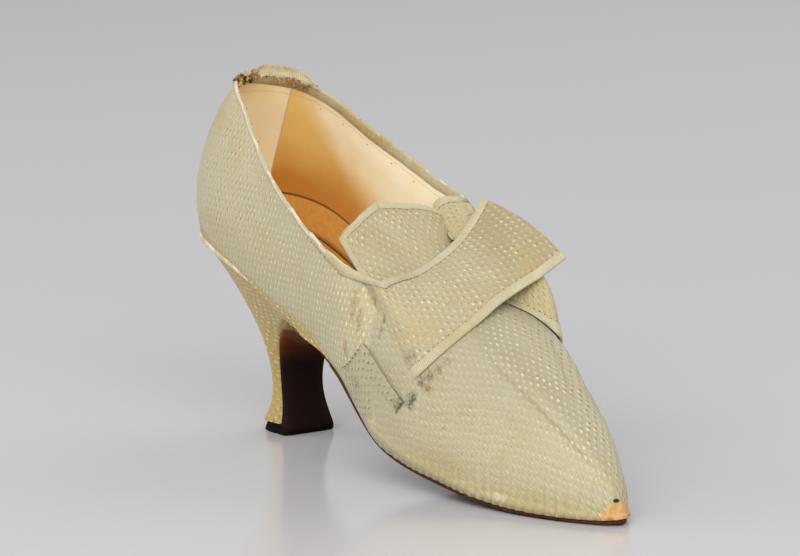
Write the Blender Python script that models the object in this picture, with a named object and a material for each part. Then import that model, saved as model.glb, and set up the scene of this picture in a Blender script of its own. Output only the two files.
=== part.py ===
"""A lady's heeled latchet shoe in figured silk, built from the sections of its last."""
import math

import bpy
import numpy as np

# Driving sizes of the shoe in metres.
LENGTH = 0.246
BALL_WIDTH = 0.055
HEEL_HEIGHT = 0.0705
INSTEP_HEIGHT = 0.0915
WALL = 0.0018
SOLE_THICKNESS = 0.0025
FLAP_THICKNESS = 0.0022
INSOLE_THICKNESS = 0.0015
TONGUE_THICKNESS = 0.0014
LATCHET_THICKNESS = 0.0015
SOLE_MARGIN = 0.0006
LIFT_HEIGHT = 0.0057
GAP = 0.0003

# Sizes of the pattern last that the tables below are drawn on, in millimetres.
PATTERN_LENGTH = 258.0
PATTERN_BALL = 57.6
PATTERN_HEEL = 74.0
PATTERN_INSTEP = 96.0
PATTERN_MIDDLE = 112.77

MILLIMETRES = 1000.0
GRADE_ALONG = LENGTH * MILLIMETRES / PATTERN_LENGTH
GRADE_ACROSS = BALL_WIDTH * MILLIMETRES / PATTERN_BALL
GRADE_UP = HEEL_HEIGHT * MILLIMETRES / PATTERN_HEEL
GRADE_INSTEP = INSTEP_HEIGHT * MILLIMETRES / PATTERN_INSTEP

# The feather line, where the upper meets the sole, from the toe to the back of the counter.
# Columns: along, half breadth, height, height of the sole's keel under the middle.
FEATHER = (
    (241.5, 0.0, 4.2, 1.6),
    (239.0, 4.2, 3.7, 0.9),
    (232.0, 9.0, 3.3, 0.3),
    (219.0, 15.4, 3.2, 0.0),
    (203.0, 21.0, 3.8, 0.0),
    (186.0, 24.8, 5.4, 0.0),
    (168.0, 27.2, 8.4, 0.6),
    (150.0, 28.6, 11.4, 4.4),
    (132.0, 28.8, 16.8, 11.4),
    (116.0, 27.0, 27.2, 23.8),
    (100.0, 24.4, 37.6, 34.7),
    (80.0, 22.6, 46.4, 43.5),
    (60.0, 23.4, 54.0, 51.1),
    (40.0, 24.8, 63.0, 60.1),
    (20.0, 24.6, 70.0, 67.1),
    (3.0, 21.0, 73.4, 70.5),
    (-9.0, 13.2, 74.2, 71.3),
    (-14.5, 0.0, 74.4, 71.5),
)

# Sections of the vamp and instep, one for each of the first feather rows.
# Columns: ridge along, ridge height, near low and high fullness, near lift of the side,
# far low and high fullness, far lift of the side, lean of the top across.
INSTEP = (
    (240.0, 11.5, 0.0, 0.0, 0.56, 0.0, 0.0, 0.62, 0.00),
    (236.5, 16.2, 0.6, 3.0, 0.56, 0.8, 3.8, 0.62, 0.02),
    (229.0, 23.0, 1.0, 5.5, 0.56, 1.5, 8.0, 0.64, 0.06),
    (216.0, 33.5, 1.6, 8.5, 0.56, 2.5, 14.0, 0.66, 0.12),
    (200.0, 44.0, 2.2, 11.0, 0.56, 3.5, 19.5, 0.68, 0.17),
    (182.0, 53.0, 2.8, 13.5, 0.58, 4.5, 24.0, 0.70, 0.21),
    (163.0, 60.5, 3.4, 16.0, 0.64, 5.0, 25.5, 0.72, 0.23),
    (146.0, 68.0, 4.2, 23.0, 0.78, 5.0, 26.0, 0.72, 0.24),
    (126.0, 77.0, 5.0, 27.5, 0.90, 5.6, 27.5, 0.74, 0.24),
    (108.0, 89.5, 6.5, 26.0, 0.86, 6.5, 24.0, 0.70, 0.22),
    (94.0, 99.5, 7.0, 24.0, 0.80, 7.0, 22.0, 0.68, 0.20),
    (80.0, 107.5, 7.0, 23.0, 0.76, 7.0, 21.0, 0.68, 0.18),
)
THROAT_ROW = 8
CORNER_SHARE = 0.60

# The quarter from the throat corner round to the back, one row for each feather row after it.
# Columns: collar along, collar half breadth, collar height, far side above near side,
# low fullness, high fullness, turn of the wall in degrees from straight back.
QUARTER = (
    (116.0, 29.5, 84.4, 8.0, 5.5, 3.0, 90.0),
    (104.0, 32.6, 92.6, 8.0, 6.0, 3.0, 90.0),
    (86.0, 32.4, 100.0, 5.0, 6.5, 3.0, 90.0),
    (68.0, 30.6, 108.6, 3.0, 7.0, 3.0, 90.0),
    (50.0, 26.2, 118.0, 2.0, 7.5, 3.5, 87.0),
    (33.0, 21.2, 129.0, 0.0, 8.0, 4.5, 78.0),
    (20.0, 16.0, 134.6, 0.0, 8.0, 5.5, 60.0),
    (10.0, 9.0, 136.8, 0.0, 8.0, 7.0, 32.0),
    (5.5, 0.0, 137.2, 0.0, 8.0, 8.0, 0.0),
)
QUARTER_LIFT = 0.30

# The heel block as four loops that draw its rails from the top lift to the seat.
# Columns: breast along, breast half breadth, side along, side half breadth, back along,
# height at the breast, height at the back.
HEEL_LOOPS = (
    (40.0, 9.9, 33.0, 10.4, 24.0, 6.3, 6.3),
    (36.0, 7.0, 35.0, 6.8, 35.0, 22.0, 22.0),
    (34.0, 11.0, 35.0, 14.6, 24.5, 47.0, 46.0),
    (66.0, 21.9, 28.0, 24.6, -14.5, 49.0, 74.0),
)

# The top lift at its two faces.
# Columns: breast along, breast half breadth, side along, side half breadth, back along.
LIFT_LOOPS = (
    (44.2, 11.6, 34.0, 11.9, 21.4),
    (42.9, 10.4, 33.5, 10.8, 23.2),
)

# The root of each latchet on the upper: section row and share at its back and front corners.
NEAR_ROOT = ((7.96, -0.44), (6.90, -0.68))
FAR_ROOT = ((7.90, 0.52), (6.30, 0.62))

# The near latchet as rows from beside its root to its free end on the far side.
# Columns: top edge along, out, up, bottom edge along, out, up, crown of the strap.
NEAR_LATCHET = (
    (128.8, -24.0, 73.0, 158.0, -25.2, 48.0, 2.5),
    (128.5, -15.0, 74.4, 160.8, -14.0, 56.8, 3.0),
    (127.3, -6.0, 76.2, 162.3, -4.0, 62.0, 3.0),
    (125.0, 4.0, 79.4, 161.8, 6.0, 68.4, 2.6),
    (123.8, 13.0, 84.2, 162.0, 16.0, 72.8, 2.6),
    (121.8, 21.0, 89.0, 164.2, 24.0, 76.1, 2.8),
    (119.4, 29.5, 96.0, 167.3, 32.0, 81.6, 3.0),
)

# The far latchet as rows from beside its root on the far side to its end on the tongue.
# Columns: back edge along, out, up, front edge along, out, up, crown of the strap.
FAR_LATCHET = (
    (123.0, 32.0, 83.0, 171.5, 27.6, 51.0, 6.0),
    (115.0, 29.4, 93.6, 172.6, 24.0, 55.2, 10.0),
    (102.5, 26.6, 96.0, 164.0, 18.2, 61.4, 6.5),
    (98.5, 22.0, 93.0, 155.0, 13.0, 66.4, 3.0),
    (118.0, 17.0, 84.6, 149.0, 9.0, 69.8, 1.0),
)

TONGUE_START = 7.2
TONGUE_CORNER = 9.62
TONGUE_PEAK = 10.12
TONGUE_SHARE = 0.40
TONGUE_TOE = 0.28


def millimetres(value):
    return value * MILLIMETRES


def bezier(controls, share):
    start, first, second, end = controls
    rest = 1.0 - share
    return (
        start * rest ** 3
        + first * 3.0 * rest ** 2 * share
        + second * 3.0 * rest * share ** 2
        + end * share ** 3
    )


def lower_part(controls, share):
    """The piece of a Bezier curve below a share of it."""
    start, first, second, end = controls
    a = start + (first - start) * share
    b = first + (second - first) * share
    c = second + (end - second) * share
    d = a + (b - a) * share
    e = b + (c - b) * share
    return np.array((start, a, d, d + (e - d) * share))


def through(rows, position):
    """A smooth curve through the rows at a place counted in rows."""
    last = len(rows) - 1
    index = min(max(int(math.floor(position)), 0), last - 1)
    part = position - index
    first = rows[index]
    second = rows[index + 1]
    before = rows[index - 1] if index > 0 else first * 2.0 - second
    after = rows[index + 2] if index + 2 <= last else second * 2.0 - first
    return 0.5 * (
        first * 2.0
        + (second - before) * part
        + (before * 2.0 - first * 5.0 + second * 4.0 - after) * part ** 2
        + (first * 3.0 - before - second * 3.0 + after) * part ** 3
    )


def graded_feather():
    rows = np.array(FEATHER)
    rows[:, 0] = (rows[:, 0] - PATTERN_MIDDLE) * GRADE_ALONG
    rows[:, 1] = rows[:, 1] * GRADE_ACROSS
    rows[:, 2:] = rows[:, 2:] * GRADE_UP
    return rows


FEATHER_ROWS = graded_feather()


def along(value):
    return (value - PATTERN_MIDDLE) * GRADE_ALONG


def across(value):
    return value * GRADE_ACROSS


def up(value):
    return value * GRADE_UP


def instep_controls(number, side):
    """Controls of one half section from the feather to the ridge, side -1 near and +1 far."""
    row = FEATHER_ROWS[min(number, len(FEATHER_ROWS) - 1)]
    ridge, height, *halves, lean = INSTEP[number]
    low, high, lift = halves[:3] if side < 0.0 else halves[3:]
    feather = np.array((row[0], side * row[1], row[2]))
    top = np.array((along(ridge), 0.0, height * GRADE_INSTEP))
    rise = top[2] - feather[2]
    reach = top[0] - feather[0]
    full = across(high)
    breadth = row[1] + across(low)
    first = np.array((
        feather[0] + reach / 3.0,
        side * breadth,
        feather[2] + rise * lift + lean * side * breadth * 0.5,
    ))
    second = np.array((
        feather[0] + reach * 2.0 / 3.0,
        side * full,
        top[2] + lean * side * full,
    ))
    return np.array((feather, first, second, top))


NEAR_SECTIONS = np.array([instep_controls(number, -1.0) for number in range(len(INSTEP))])
FAR_SECTIONS = np.array([instep_controls(number, 1.0) for number in range(len(INSTEP))])


def nose(sections):
    """The sections with a mirrored row before the toe, so the toe comes out round."""
    mirrored = sections[1] * np.array((1.0, -1.0, 1.0))
    return np.concatenate((mirrored[None], sections))


NEAR_NOSE = nose(NEAR_SECTIONS)
FAR_NOSE = nose(FAR_SECTIONS)


def surface(position, share):
    """A point of the vamp and instep: share -1 near feather, 0 ridge, +1 far feather."""
    sections = NEAR_NOSE if share < 0.0 else FAR_NOSE
    return bezier(through(sections, position + 1.0), 1.0 - abs(share))


def surface_normal(position, share):
    step = 0.02
    ahead = surface(max(position - step, 0.0), share) - surface(position + step, share)
    over = surface(position, share + step) - surface(position, share - step)
    normal = np.cross(ahead, over)
    return normal / np.linalg.norm(normal)


def quarter_controls(number, side):
    """Controls of one section of the quarter from the feather to the collar."""
    row = FEATHER_ROWS[THROAT_ROW + 1 + number]
    collar, half, height, tilt, low, high, turn = QUARTER[number]
    out = np.array((-math.cos(math.radians(turn)), side * math.sin(math.radians(turn)), 0.0))
    feather = np.array((row[0], side * row[1], row[2]))
    edge = np.array((along(collar), side * across(half), up(height + side * tilt * 0.5)))
    rise = (edge - feather) * QUARTER_LIFT
    first = feather + rise * np.array((0.4, 0.4, 1.0)) + out * across(low)
    second = edge - rise * np.array((1.6, 1.6, 1.0)) + out * across(high)
    return np.array((feather, first, second, edge))


def material(name, colour, roughness):
    made = bpy.data.materials.new(name)
    made.use_nodes = True
    shader = made.node_tree.nodes["Principled BSDF"]
    shader.inputs["Base Color"].default_value = (*colour, 1.0)
    shader.inputs["Roughness"].default_value = roughness
    made.diffuse_color = (*colour, 1.0)
    return made


def add_object(name, points, faces, coat):
    """A closed mesh object from points in millimetres."""
    mesh = bpy.data.meshes.new(name)
    mesh.from_pydata([tuple(point / MILLIMETRES) for point in points], [], faces)
    mesh.validate()
    mesh.update()
    made = bpy.data.objects.new(name, mesh)
    bpy.context.scene.collection.objects.link(made)
    mesh.materials.append(coat)
    for polygon in mesh.polygons:
        polygon.use_smooth = True
    return made


def grid_faces(rows, columns, start=0):
    faces = []
    for row in range(rows - 1):
        for column in range(columns - 1):
            corner = start + row * columns + column
            faces.append((corner, corner + 1, corner + columns + 1, corner + columns))
    return faces


def mean_normals(points, faces):
    normals = np.zeros_like(points)
    for face in faces:
        corners = points[list(face)]
        if len(face) == 4:
            normal = np.cross(corners[2] - corners[0], corners[3] - corners[1])
        else:
            normal = np.cross(corners[1] - corners[0], corners[2] - corners[0])
        for index in face:
            normals[index] += normal
    lengths = np.linalg.norm(normals, axis=1)
    return normals / np.maximum(lengths, 1e-9)[:, None]


def closed_shell(outer, faces, inner):
    """Faces of a body between an outer sheet and its inner twin, rim included."""
    count = len(outer)
    points = np.concatenate((outer, inner))
    body = list(faces)
    body += [tuple(index + count for index in reversed(face)) for face in faces]
    seen = {}
    for face in faces:
        for first, second in zip(face, face[1:] + face[:1]):
            seen[(first, second)] = True
    for first, second in list(seen):
        if (second, first) not in seen:
            body.append((second, first, first + count, second + count))
    return points, body


def joined(points, faces, twins):
    """The same sheet with each twin point put onto its partner and flat faces dropped."""
    partner = dict(twins)
    kept_points = []
    place_of = {}
    for index, point in enumerate(points):
        if index not in partner:
            place_of[index] = len(kept_points)
            kept_points.append(point)
    kept = []
    for face in faces:
        ring = []
        for index in face:
            place = place_of[partner.get(index, index)]
            if place not in ring:
                ring.append(place)
        if len(ring) >= 3:
            kept.append(tuple(ring))
    return np.array(kept_points), kept


TOE_TAPER = 14.0
SIDE_STEPS = 7
TOP_STEPS = 5
VAMP_STEPS = 3
QUARTER_STEPS = 2


def upper_sheet():
    """The outer face of the upper: the vamp over the toe, then the two quarters."""
    low = [-(1.0 - CORNER_SHARE * step / SIDE_STEPS) for step in range(SIDE_STEPS)]
    corner = 1.0 - CORNER_SHARE
    high = [-corner * (1.0 - step / TOP_STEPS) for step in range(TOP_STEPS)]
    half = low + high
    shares = half + [0.0] + [-share for share in reversed(half)]
    places = [step / VAMP_STEPS for step in range(THROAT_ROW * VAMP_STEPS + 1)]
    points = []
    for place in places:
        for share in shares:
            points.append(surface(place, share))
    faces = grid_faces(len(places), len(shares))
    rows = {}
    for side, sections in ((-1.0, NEAR_SECTIONS), (1.0, FAR_SECTIONS)):
        ghost = lower_part(sections[THROAT_ROW - 1], CORNER_SHARE)
        throat = lower_part(sections[THROAT_ROW], CORNER_SHARE)
        rows[side] = [ghost, throat]
        rows[side] += [quarter_controls(number, side) for number in range(len(QUARTER))]
    round_rows = np.array(rows[-1.0] + rows[1.0][-2::-1])
    start = len(points)
    columns = SIDE_STEPS + 1
    spans = len(round_rows) - 3
    for step in range(spans * QUARTER_STEPS + 1):
        controls = through(round_rows, 1.0 + step / QUARTER_STEPS)
        for column in range(columns):
            points.append(bezier(controls, column / SIDE_STEPS))
    last = spans * QUARTER_STEPS
    faces += grid_faces(last + 1, columns, start)
    width = len(shares)
    twins = [(width - 1 - column, column) for column in range(width // 2)]
    throat_start = (len(places) - 1) * width
    for column in range(columns):
        twins.append((start + column, throat_start + column))
        twins.append((start + last * columns + column, throat_start + width - 1 - column))
    return joined(np.array(points), faces, twins)


def build_upper(coat):
    outer, faces = upper_sheet()
    normals = mean_normals(outer, faces)
    middle = outer.mean(axis=0)
    if ((outer - middle) * normals).sum() < 0.0:
        faces = [tuple(reversed(face)) for face in faces]
        normals = -normals
    taper = np.clip((outer[:, 0].max() - outer[:, 0]) / TOE_TAPER, 0.35, 1.0)
    inner = outer - normals * millimetres(WALL) * taper[:, None]
    crossed = inner[:, 1] * outer[:, 1] < 0.0
    inner[crossed, 1] = outer[crossed, 1] * 0.15
    points, body = closed_shell(outer, faces, inner)
    return add_object("upper", points, body, coat)


def outline(place):
    """Half breadth, feather height and keel height of the sole at a place along it."""
    rows = FEATHER_ROWS[::-1]
    spot = np.interp(place, rows[:, 0], np.arange(len(rows)))
    return through(rows, float(spot))


def breast(share):
    """The middle of the heel's breast from the lift up to the seat: along, half breadth, up."""
    controls = np.array([
        (along(row[0]), across(row[1]), up(row[5])) for row in HEEL_LOOPS
    ])
    controls[3, 2] = outline(controls[3, 0])[2] - millimetres(GAP)
    return bezier(controls, share)


def breast_normal(share):
    step = 0.01
    path = breast(min(share + step, 1.0)) - breast(max(share - step, 0.0))
    length = math.hypot(path[0], path[2])
    return np.array((path[2] / length, 0.0, -path[0] / length))


SOLE_COLUMNS = (-1.0, -0.9, -0.75, -0.58, -0.4, 0.0, 0.4, 0.58, 0.75, 0.9, 1.0)
SOLE_PLACES = (
    241.6, 240.9, 239.6, 237.2, 233.5, 228.5, 222.5, 214.0, 204.0, 194.0, 184.0, 176.0, 168.0,
    159.0, 150.0, 141.0, 132.0, 124.0, 116.0, 108.0, 100.0, 93.0, 86.5, 80.0, 75.5,
)
FLAP_SHARES = (0.985, 0.94, 0.89, 0.83, 0.76, 0.68, 0.59, 0.49, 0.38, 0.27, 0.16, 0.06, 0.0)


def crown(share):
    """How far the sole has risen from its flat middle to its edge."""
    part = max(abs(share) - 0.4, 0.0) / 0.6
    return part * part


def build_outsole(coat):
    gap = millimetres(GAP)
    thick = millimetres(SOLE_THICKNESS)
    margin = millimetres(SOLE_MARGIN)
    top = []
    bottom = []
    for place in SOLE_PLACES:
        spot = along(place)
        found = outline(spot)
        ahead = outline(spot + 0.5)
        behind = outline(spot - 0.5)
        slope = (ahead[2] - behind[2]) / 1.0
        lean = np.array((-slope, 0.0, 1.0)) / math.hypot(slope, 1.0)
        if place > 150.0:
            lean = np.array((0.0, 0.0, 1.0))
        half = max(found[1], 0.9) + margin
        edge = found[2] - gap
        if place > 236.0:
            edge -= gap * (place - 236.0) / 3.0
        keel = min(max(found[3], 0.0) + thick, edge)
        for share in SOLE_COLUMNS:
            rise = keel + (edge - keel) * crown(share)
            over = np.array((spot, half * share, rise))
            under = over - lean * thick
            if under[2] < 0.004:
                under[2] = 0.0
            top.append(over)
            bottom.append(under)
    flap = millimetres(FLAP_THICKNESS)
    for share in FLAP_SHARES:
        spot, half, height = breast(share)
        away = breast_normal(share)
        depth = flap + (thick - flap) * max(share - 0.7, 0.0) / 0.3
        for column in SOLE_COLUMNS:
            place = np.array((spot, half * column, height))
            top.append(place + away * gap)
            bottom.append(place + away * (gap + depth))
    columns = len(SOLE_COLUMNS)
    rows = len(top) // columns
    faces = grid_faces(rows, columns)
    points, body = closed_shell(np.array(top), faces, np.array(bottom))
    return add_object("outsole", points, body, coat)


LOOP_STEPS = 8
HEEL_LEVELS = 12


def half_loop(front, front_half, side, side_half, back):
    """The near half of a heel section from its breast corner round to the back."""
    points = []
    for step in range(LOOP_STEPS):
        share = step / LOOP_STEPS
        points.append((
            front + (side - front) * share,
            front_half + (side_half - front_half) * share * (2.0 - share),
        ))
    for step in range(LOOP_STEPS + 1):
        angle = math.pi * 0.5 * step / LOOP_STEPS
        points.append((side + (back - side) * math.sin(angle), side_half * math.cos(angle)))
    return np.array(points)


def whole_loop(half):
    """A closed ring from a near half loop, the breast crossed in even steps."""
    near = half * np.array((1.0, -1.0))
    far = half[-2::-1]
    across_steps = 3
    ring = list(near) + list(far)
    first = far[-1]
    last = near[0]
    for step in range(1, across_steps):
        ring.append(first + (last - first) * step / across_steps)
    return np.array(ring)


def loft(rings, name, coat):
    """A closed body through rings of the same count, capped at both ends."""
    count = len(rings[0])
    points = np.concatenate(rings)
    body = []
    for level in range(len(rings) - 1):
        for index in range(count):
            beside = (index + 1) % count
            low = level * count
            high = low + count
            body.append((low + index, high + index, high + beside, low + beside))
    body.append(tuple(range(count)))
    span = len(rings) - 1
    body.append(tuple(span * count + index for index in reversed(range(count))))
    made = add_object(name, points, body, coat)
    return made


def build_heel(coat):
    gap = millimetres(GAP)
    loops = []
    for row in HEEL_LOOPS:
        half = half_loop(
            along(row[0]), across(row[1]), along(row[2]), across(row[3]), along(row[4])
        )
        ring = whole_loop(half)
        share = (ring[:, 0] - along(row[0])) / (along(row[4]) - along(row[0]))
        height = up(row[5]) + (up(row[6]) - up(row[5])) * share
        loops.append(np.column_stack((ring, height)))
    seat = loops[3]
    edge = millimetres(SOLE_MARGIN)
    for index in range(len(seat)):
        found = outline(seat[index, 0])
        whole = abs(seat[index, 1])
        if whole > 0.75 * found[1] or seat[index, 0] < along(22.0):
            seat[index, 1] = math.copysign(found[1] + edge * 0.4, seat[index, 1])
        if whole < 1e-6:
            seat[index, 1] = 0.0
        seat[index, 2] = found[2] - gap
    count = len(seat)
    rings = []
    for level in range(HEEL_LEVELS + 1):
        share = level / HEEL_LEVELS
        rings.append(np.array([
            bezier(np.array([loop[index] for loop in loops]), share) for index in range(count)
        ]))
    return loft(rings, "heel", coat)


def build_top_lift(coat):
    rings = []
    for row, height in ((LIFT_LOOPS[0], 0.0), (LIFT_LOOPS[1], millimetres(LIFT_HEIGHT))):
        half = half_loop(
            along(row[0]), across(row[1]), along(row[2]), across(row[3]), along(row[4])
        )
        ring = whole_loop(half)
        rings.append(np.column_stack((ring, np.full(len(ring), height))))
    return loft(rings, "top_lift", coat)


INSOLE_PLACES = (
    230.0, 226.0, 220.0, 212.0, 202.0, 192.0, 180.0, 168.0, 156.0, 144.0, 132.0, 120.0, 108.0,
    96.0, 84.0, 72.0, 60.0, 48.0, 36.0, 24.0, 14.0, 6.0, 0.0, -4.5, -7.5, -9.2,
)
INSOLE_COLUMNS = (-1.0, -0.8, -0.5, 0.0, 0.5, 0.8, 1.0)


def build_insole(coat):
    gap = millimetres(GAP)
    thick = millimetres(SOLE_THICKNESS)
    inset = millimetres(WALL) + 3.0 * gap
    top = []
    bottom = []
    for place in INSOLE_PLACES:
        spot = along(place)
        found = outline(spot)
        half = found[1] - inset
        if place < 24.0:
            back = outline(spot - inset * (24.0 - place) / 33.0)
            half = back[1] - inset
        half = max(half, 1.5)
        edge = found[2] + gap
        keel = max(found[3], 0.0) + thick + 2.0 * gap
        if place < 75.0:
            keel = edge
        for share in INSOLE_COLUMNS:
            wide = half * share / max(found[1], 0.1)
            rise = keel + (edge - keel) * crown(wide)
            bottom.append(np.array((spot, half * share, rise)))
            top.append(np.array((spot, half * share, rise + millimetres(INSOLE_THICKNESS))))
    columns = len(INSOLE_COLUMNS)
    rows = len(top) // columns
    faces = grid_faces(rows, columns)
    points, body = closed_shell(np.array(top), faces, np.array(bottom))
    return add_object("insole", points, body, coat)


TONGUE_ROWS = 14
TONGUE_COLUMNS = 12


def build_tongue(coat):
    """The tongue under the throat, from the upper's own sections, with a peaked top edge."""
    below = millimetres(WALL) + millimetres(GAP)
    top = []
    bottom = []
    for row in range(TONGUE_ROWS + 1):
        for column in range(TONGUE_COLUMNS + 1):
            part = 2.0 * column / TONGUE_COLUMNS - 1.0
            limit = TONGUE_PEAK + (TONGUE_CORNER - TONGUE_PEAK) * abs(part)
            travel = row / TONGUE_ROWS
            position = TONGUE_START + (limit - TONGUE_START) * travel
            wide = TONGUE_TOE + (TONGUE_SHARE - TONGUE_TOE) * min(travel * 1.6, 1.0)
            share = part * wide
            place = surface(position, share)
            normal = surface_normal(position, share)
            top.append(place - normal * below)
            bottom.append(place - normal * (below + millimetres(TONGUE_THICKNESS)))
    faces = grid_faces(TONGUE_ROWS + 1, TONGUE_COLUMNS + 1)
    normals = mean_normals(np.array(top), faces)
    if normals[:, 2].mean() < 0.0:
        faces = [tuple(reversed(face)) for face in faces]
    points, body = closed_shell(np.array(top), faces, np.array(bottom))
    return add_object("tongue", points, body, coat)


LATCHET_ROWS = 20
LATCHET_COLUMNS = 8


def strap(name, under, coat):
    """A strap solid standing on a sheet of points, thickened upward."""
    faces = grid_faces(LATCHET_ROWS + 1, LATCHET_COLUMNS + 1)
    normals = mean_normals(under, faces)
    if normals[:, 2].mean() < 0.0:
        faces = [tuple(reversed(face)) for face in faces]
        normals = -normals
    over = under + normals * millimetres(LATCHET_THICKNESS)
    points, body = closed_shell(over, faces, under)
    return add_object(name, points, body, coat)


def latchet_controls(table, root, curl):
    """Rows of points across a strap, the first seated on the upper between the root's ends."""
    rows = []
    first, last = np.array(root)
    seated = []
    for column in range(LATCHET_COLUMNS + 1):
        position, share = first + (last - first) * column / LATCHET_COLUMNS
        lift = surface_normal(position, share) * millimetres(GAP) * 1.3
        seated.append(surface(position, share) + lift)
    rows.append(seated)
    for back_x, back_y, back_z, front_x, front_y, front_z, crown_height in table:
        back = np.array((along(back_x), across(back_y), back_z * GRADE_INSTEP))
        front = np.array((along(front_x), across(front_y), front_z * GRADE_INSTEP))
        row = []
        for column in range(LATCHET_COLUMNS + 1):
            part = column / LATCHET_COLUMNS
            even = 4.0 * part * (1.0 - part)
            forward = 6.75 * part * part * (1.0 - part)
            rise = crown_height * (even + (forward - even) * curl)
            row.append(back + (front - back) * part + np.array((0.5, 0.0, 0.87)) * rise)
        rows.append(row)
    return np.array(rows)


def build_latchet(name, table, root, curl, coat):
    """A strap laid smoothly through its rows of points."""
    controls = latchet_controls(table, root, curl)
    under = []
    for row in range(LATCHET_ROWS + 1):
        under.extend(through(controls, row / LATCHET_ROWS * (len(controls) - 1)))
    return strap(name, np.array(under), coat)


def main():
    for old in list(bpy.data.objects):
        bpy.data.objects.remove(old)
    silk = material("upper_silk", (0.66, 0.64, 0.46), 0.55)
    latchet_silk = material("latchet_silk", (0.68, 0.66, 0.48), 0.55)
    tongue_silk = material("tongue_silk", (0.64, 0.63, 0.46), 0.55)
    heel_silk = material("heel_silk", (0.62, 0.52, 0.28), 0.5)
    sole_leather = material("sole_leather", (0.22, 0.09, 0.05), 0.5)
    lift_leather = material("lift_leather", (0.12, 0.05, 0.03), 0.55)
    insole_leather = material("insole_leather", (0.70, 0.46, 0.26), 0.65)
    build_outsole(sole_leather)
    build_upper(silk)
    build_tongue(tongue_silk)
    build_insole(insole_leather)
    build_heel(heel_silk)
    build_top_lift(lift_leather)
    build_latchet("latchet_left", FAR_LATCHET, FAR_ROOT, 1.0, latchet_silk)
    build_latchet("latchet_right", NEAR_LATCHET, NEAR_ROOT, 0.0, latchet_silk)


main()
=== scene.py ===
"""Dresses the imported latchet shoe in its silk, ribbon, lining and leather, and sets its stage."""

import math
import random

import bmesh
import bpy
import numpy as np
from mathutils import Matrix, Vector, noise
from mathutils.bvhtree import BVHTree


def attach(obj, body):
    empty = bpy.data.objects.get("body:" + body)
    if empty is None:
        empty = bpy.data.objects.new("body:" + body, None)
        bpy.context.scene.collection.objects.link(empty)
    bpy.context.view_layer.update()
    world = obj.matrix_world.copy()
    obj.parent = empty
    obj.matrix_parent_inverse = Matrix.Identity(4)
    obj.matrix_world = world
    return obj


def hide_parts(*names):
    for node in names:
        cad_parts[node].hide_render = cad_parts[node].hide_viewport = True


bl_info = {
    "name": "Latchet shoe",
    "version": (1, 0, 0),
    "blender": (4, 5, 0),
    "location": "3D View, Sidebar, Shoe",
    "description": "Dresses a heeled silk latchet shoe",
    "category": "Object",
}

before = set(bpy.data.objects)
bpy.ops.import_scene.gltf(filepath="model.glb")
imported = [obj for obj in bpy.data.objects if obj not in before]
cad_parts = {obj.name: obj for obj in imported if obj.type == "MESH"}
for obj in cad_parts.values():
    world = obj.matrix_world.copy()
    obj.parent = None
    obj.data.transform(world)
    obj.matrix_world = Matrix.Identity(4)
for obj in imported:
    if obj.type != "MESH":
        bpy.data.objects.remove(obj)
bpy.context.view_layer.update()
MM = 0.001
TO_MILLIMETRES = (1000.0, 1000.0, 1000.0)

# The pattern last, as in the part's source: its sizes in millimetres and the grades to the shoe.
MIDDLE = 112.77
GRADE_ALONG = 246.0 / 258.0
GRADE_ACROSS = 55.0 / 57.6
GRADE_UP = 70.5 / 74.0
GRADE_INSTEP = 91.5 / 96.0

# Feather line from the toe to the back. Columns: along, half breadth, height.
FEATHER = np.array((
    (241.5, 0.0, 4.2), (239.0, 4.2, 3.7), (232.0, 9.0, 3.3), (219.0, 15.4, 3.2),
    (203.0, 21.0, 3.8), (186.0, 24.8, 5.4), (168.0, 27.2, 8.4), (150.0, 28.6, 11.4),
    (132.0, 28.8, 16.8), (116.0, 27.0, 27.2), (100.0, 24.4, 37.6), (80.0, 22.6, 46.4),
    (60.0, 23.4, 54.0), (40.0, 24.8, 63.0), (20.0, 24.6, 70.0), (3.0, 21.0, 73.4),
    (-9.0, 13.2, 74.2), (-14.5, 0.0, 74.4),
))

# Sections of the vamp and instep. Columns: ridge along, ridge height, near low, near high,
# near lift, far low, far high, far lift, lean.
INSTEP = (
    (240.0, 11.5, 0.0, 0.0, 0.56, 0.0, 0.0, 0.62, 0.00),
    (236.5, 16.2, 0.6, 3.0, 0.56, 0.8, 3.8, 0.62, 0.02),
    (229.0, 23.0, 1.0, 5.5, 0.56, 1.5, 8.0, 0.64, 0.06),
    (216.0, 33.5, 1.6, 8.5, 0.56, 2.5, 14.0, 0.66, 0.12),
    (200.0, 44.0, 2.2, 11.0, 0.56, 3.5, 19.5, 0.68, 0.17),
    (182.0, 53.0, 2.8, 13.5, 0.58, 4.5, 24.0, 0.70, 0.21),
    (163.0, 60.5, 3.4, 16.0, 0.64, 5.0, 25.5, 0.72, 0.23),
    (146.0, 68.0, 4.2, 23.0, 0.78, 5.0, 26.0, 0.72, 0.24),
    (126.0, 77.0, 5.0, 27.5, 0.90, 5.6, 27.5, 0.74, 0.24),
    (108.0, 89.5, 6.5, 26.0, 0.86, 6.5, 24.0, 0.70, 0.22),
    (94.0, 99.5, 7.0, 24.0, 0.80, 7.0, 22.0, 0.68, 0.20),
    (80.0, 107.5, 7.0, 23.0, 0.76, 7.0, 21.0, 0.68, 0.18),
)
THROAT_ROW = 8
CORNER_SHARE = 0.60

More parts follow.
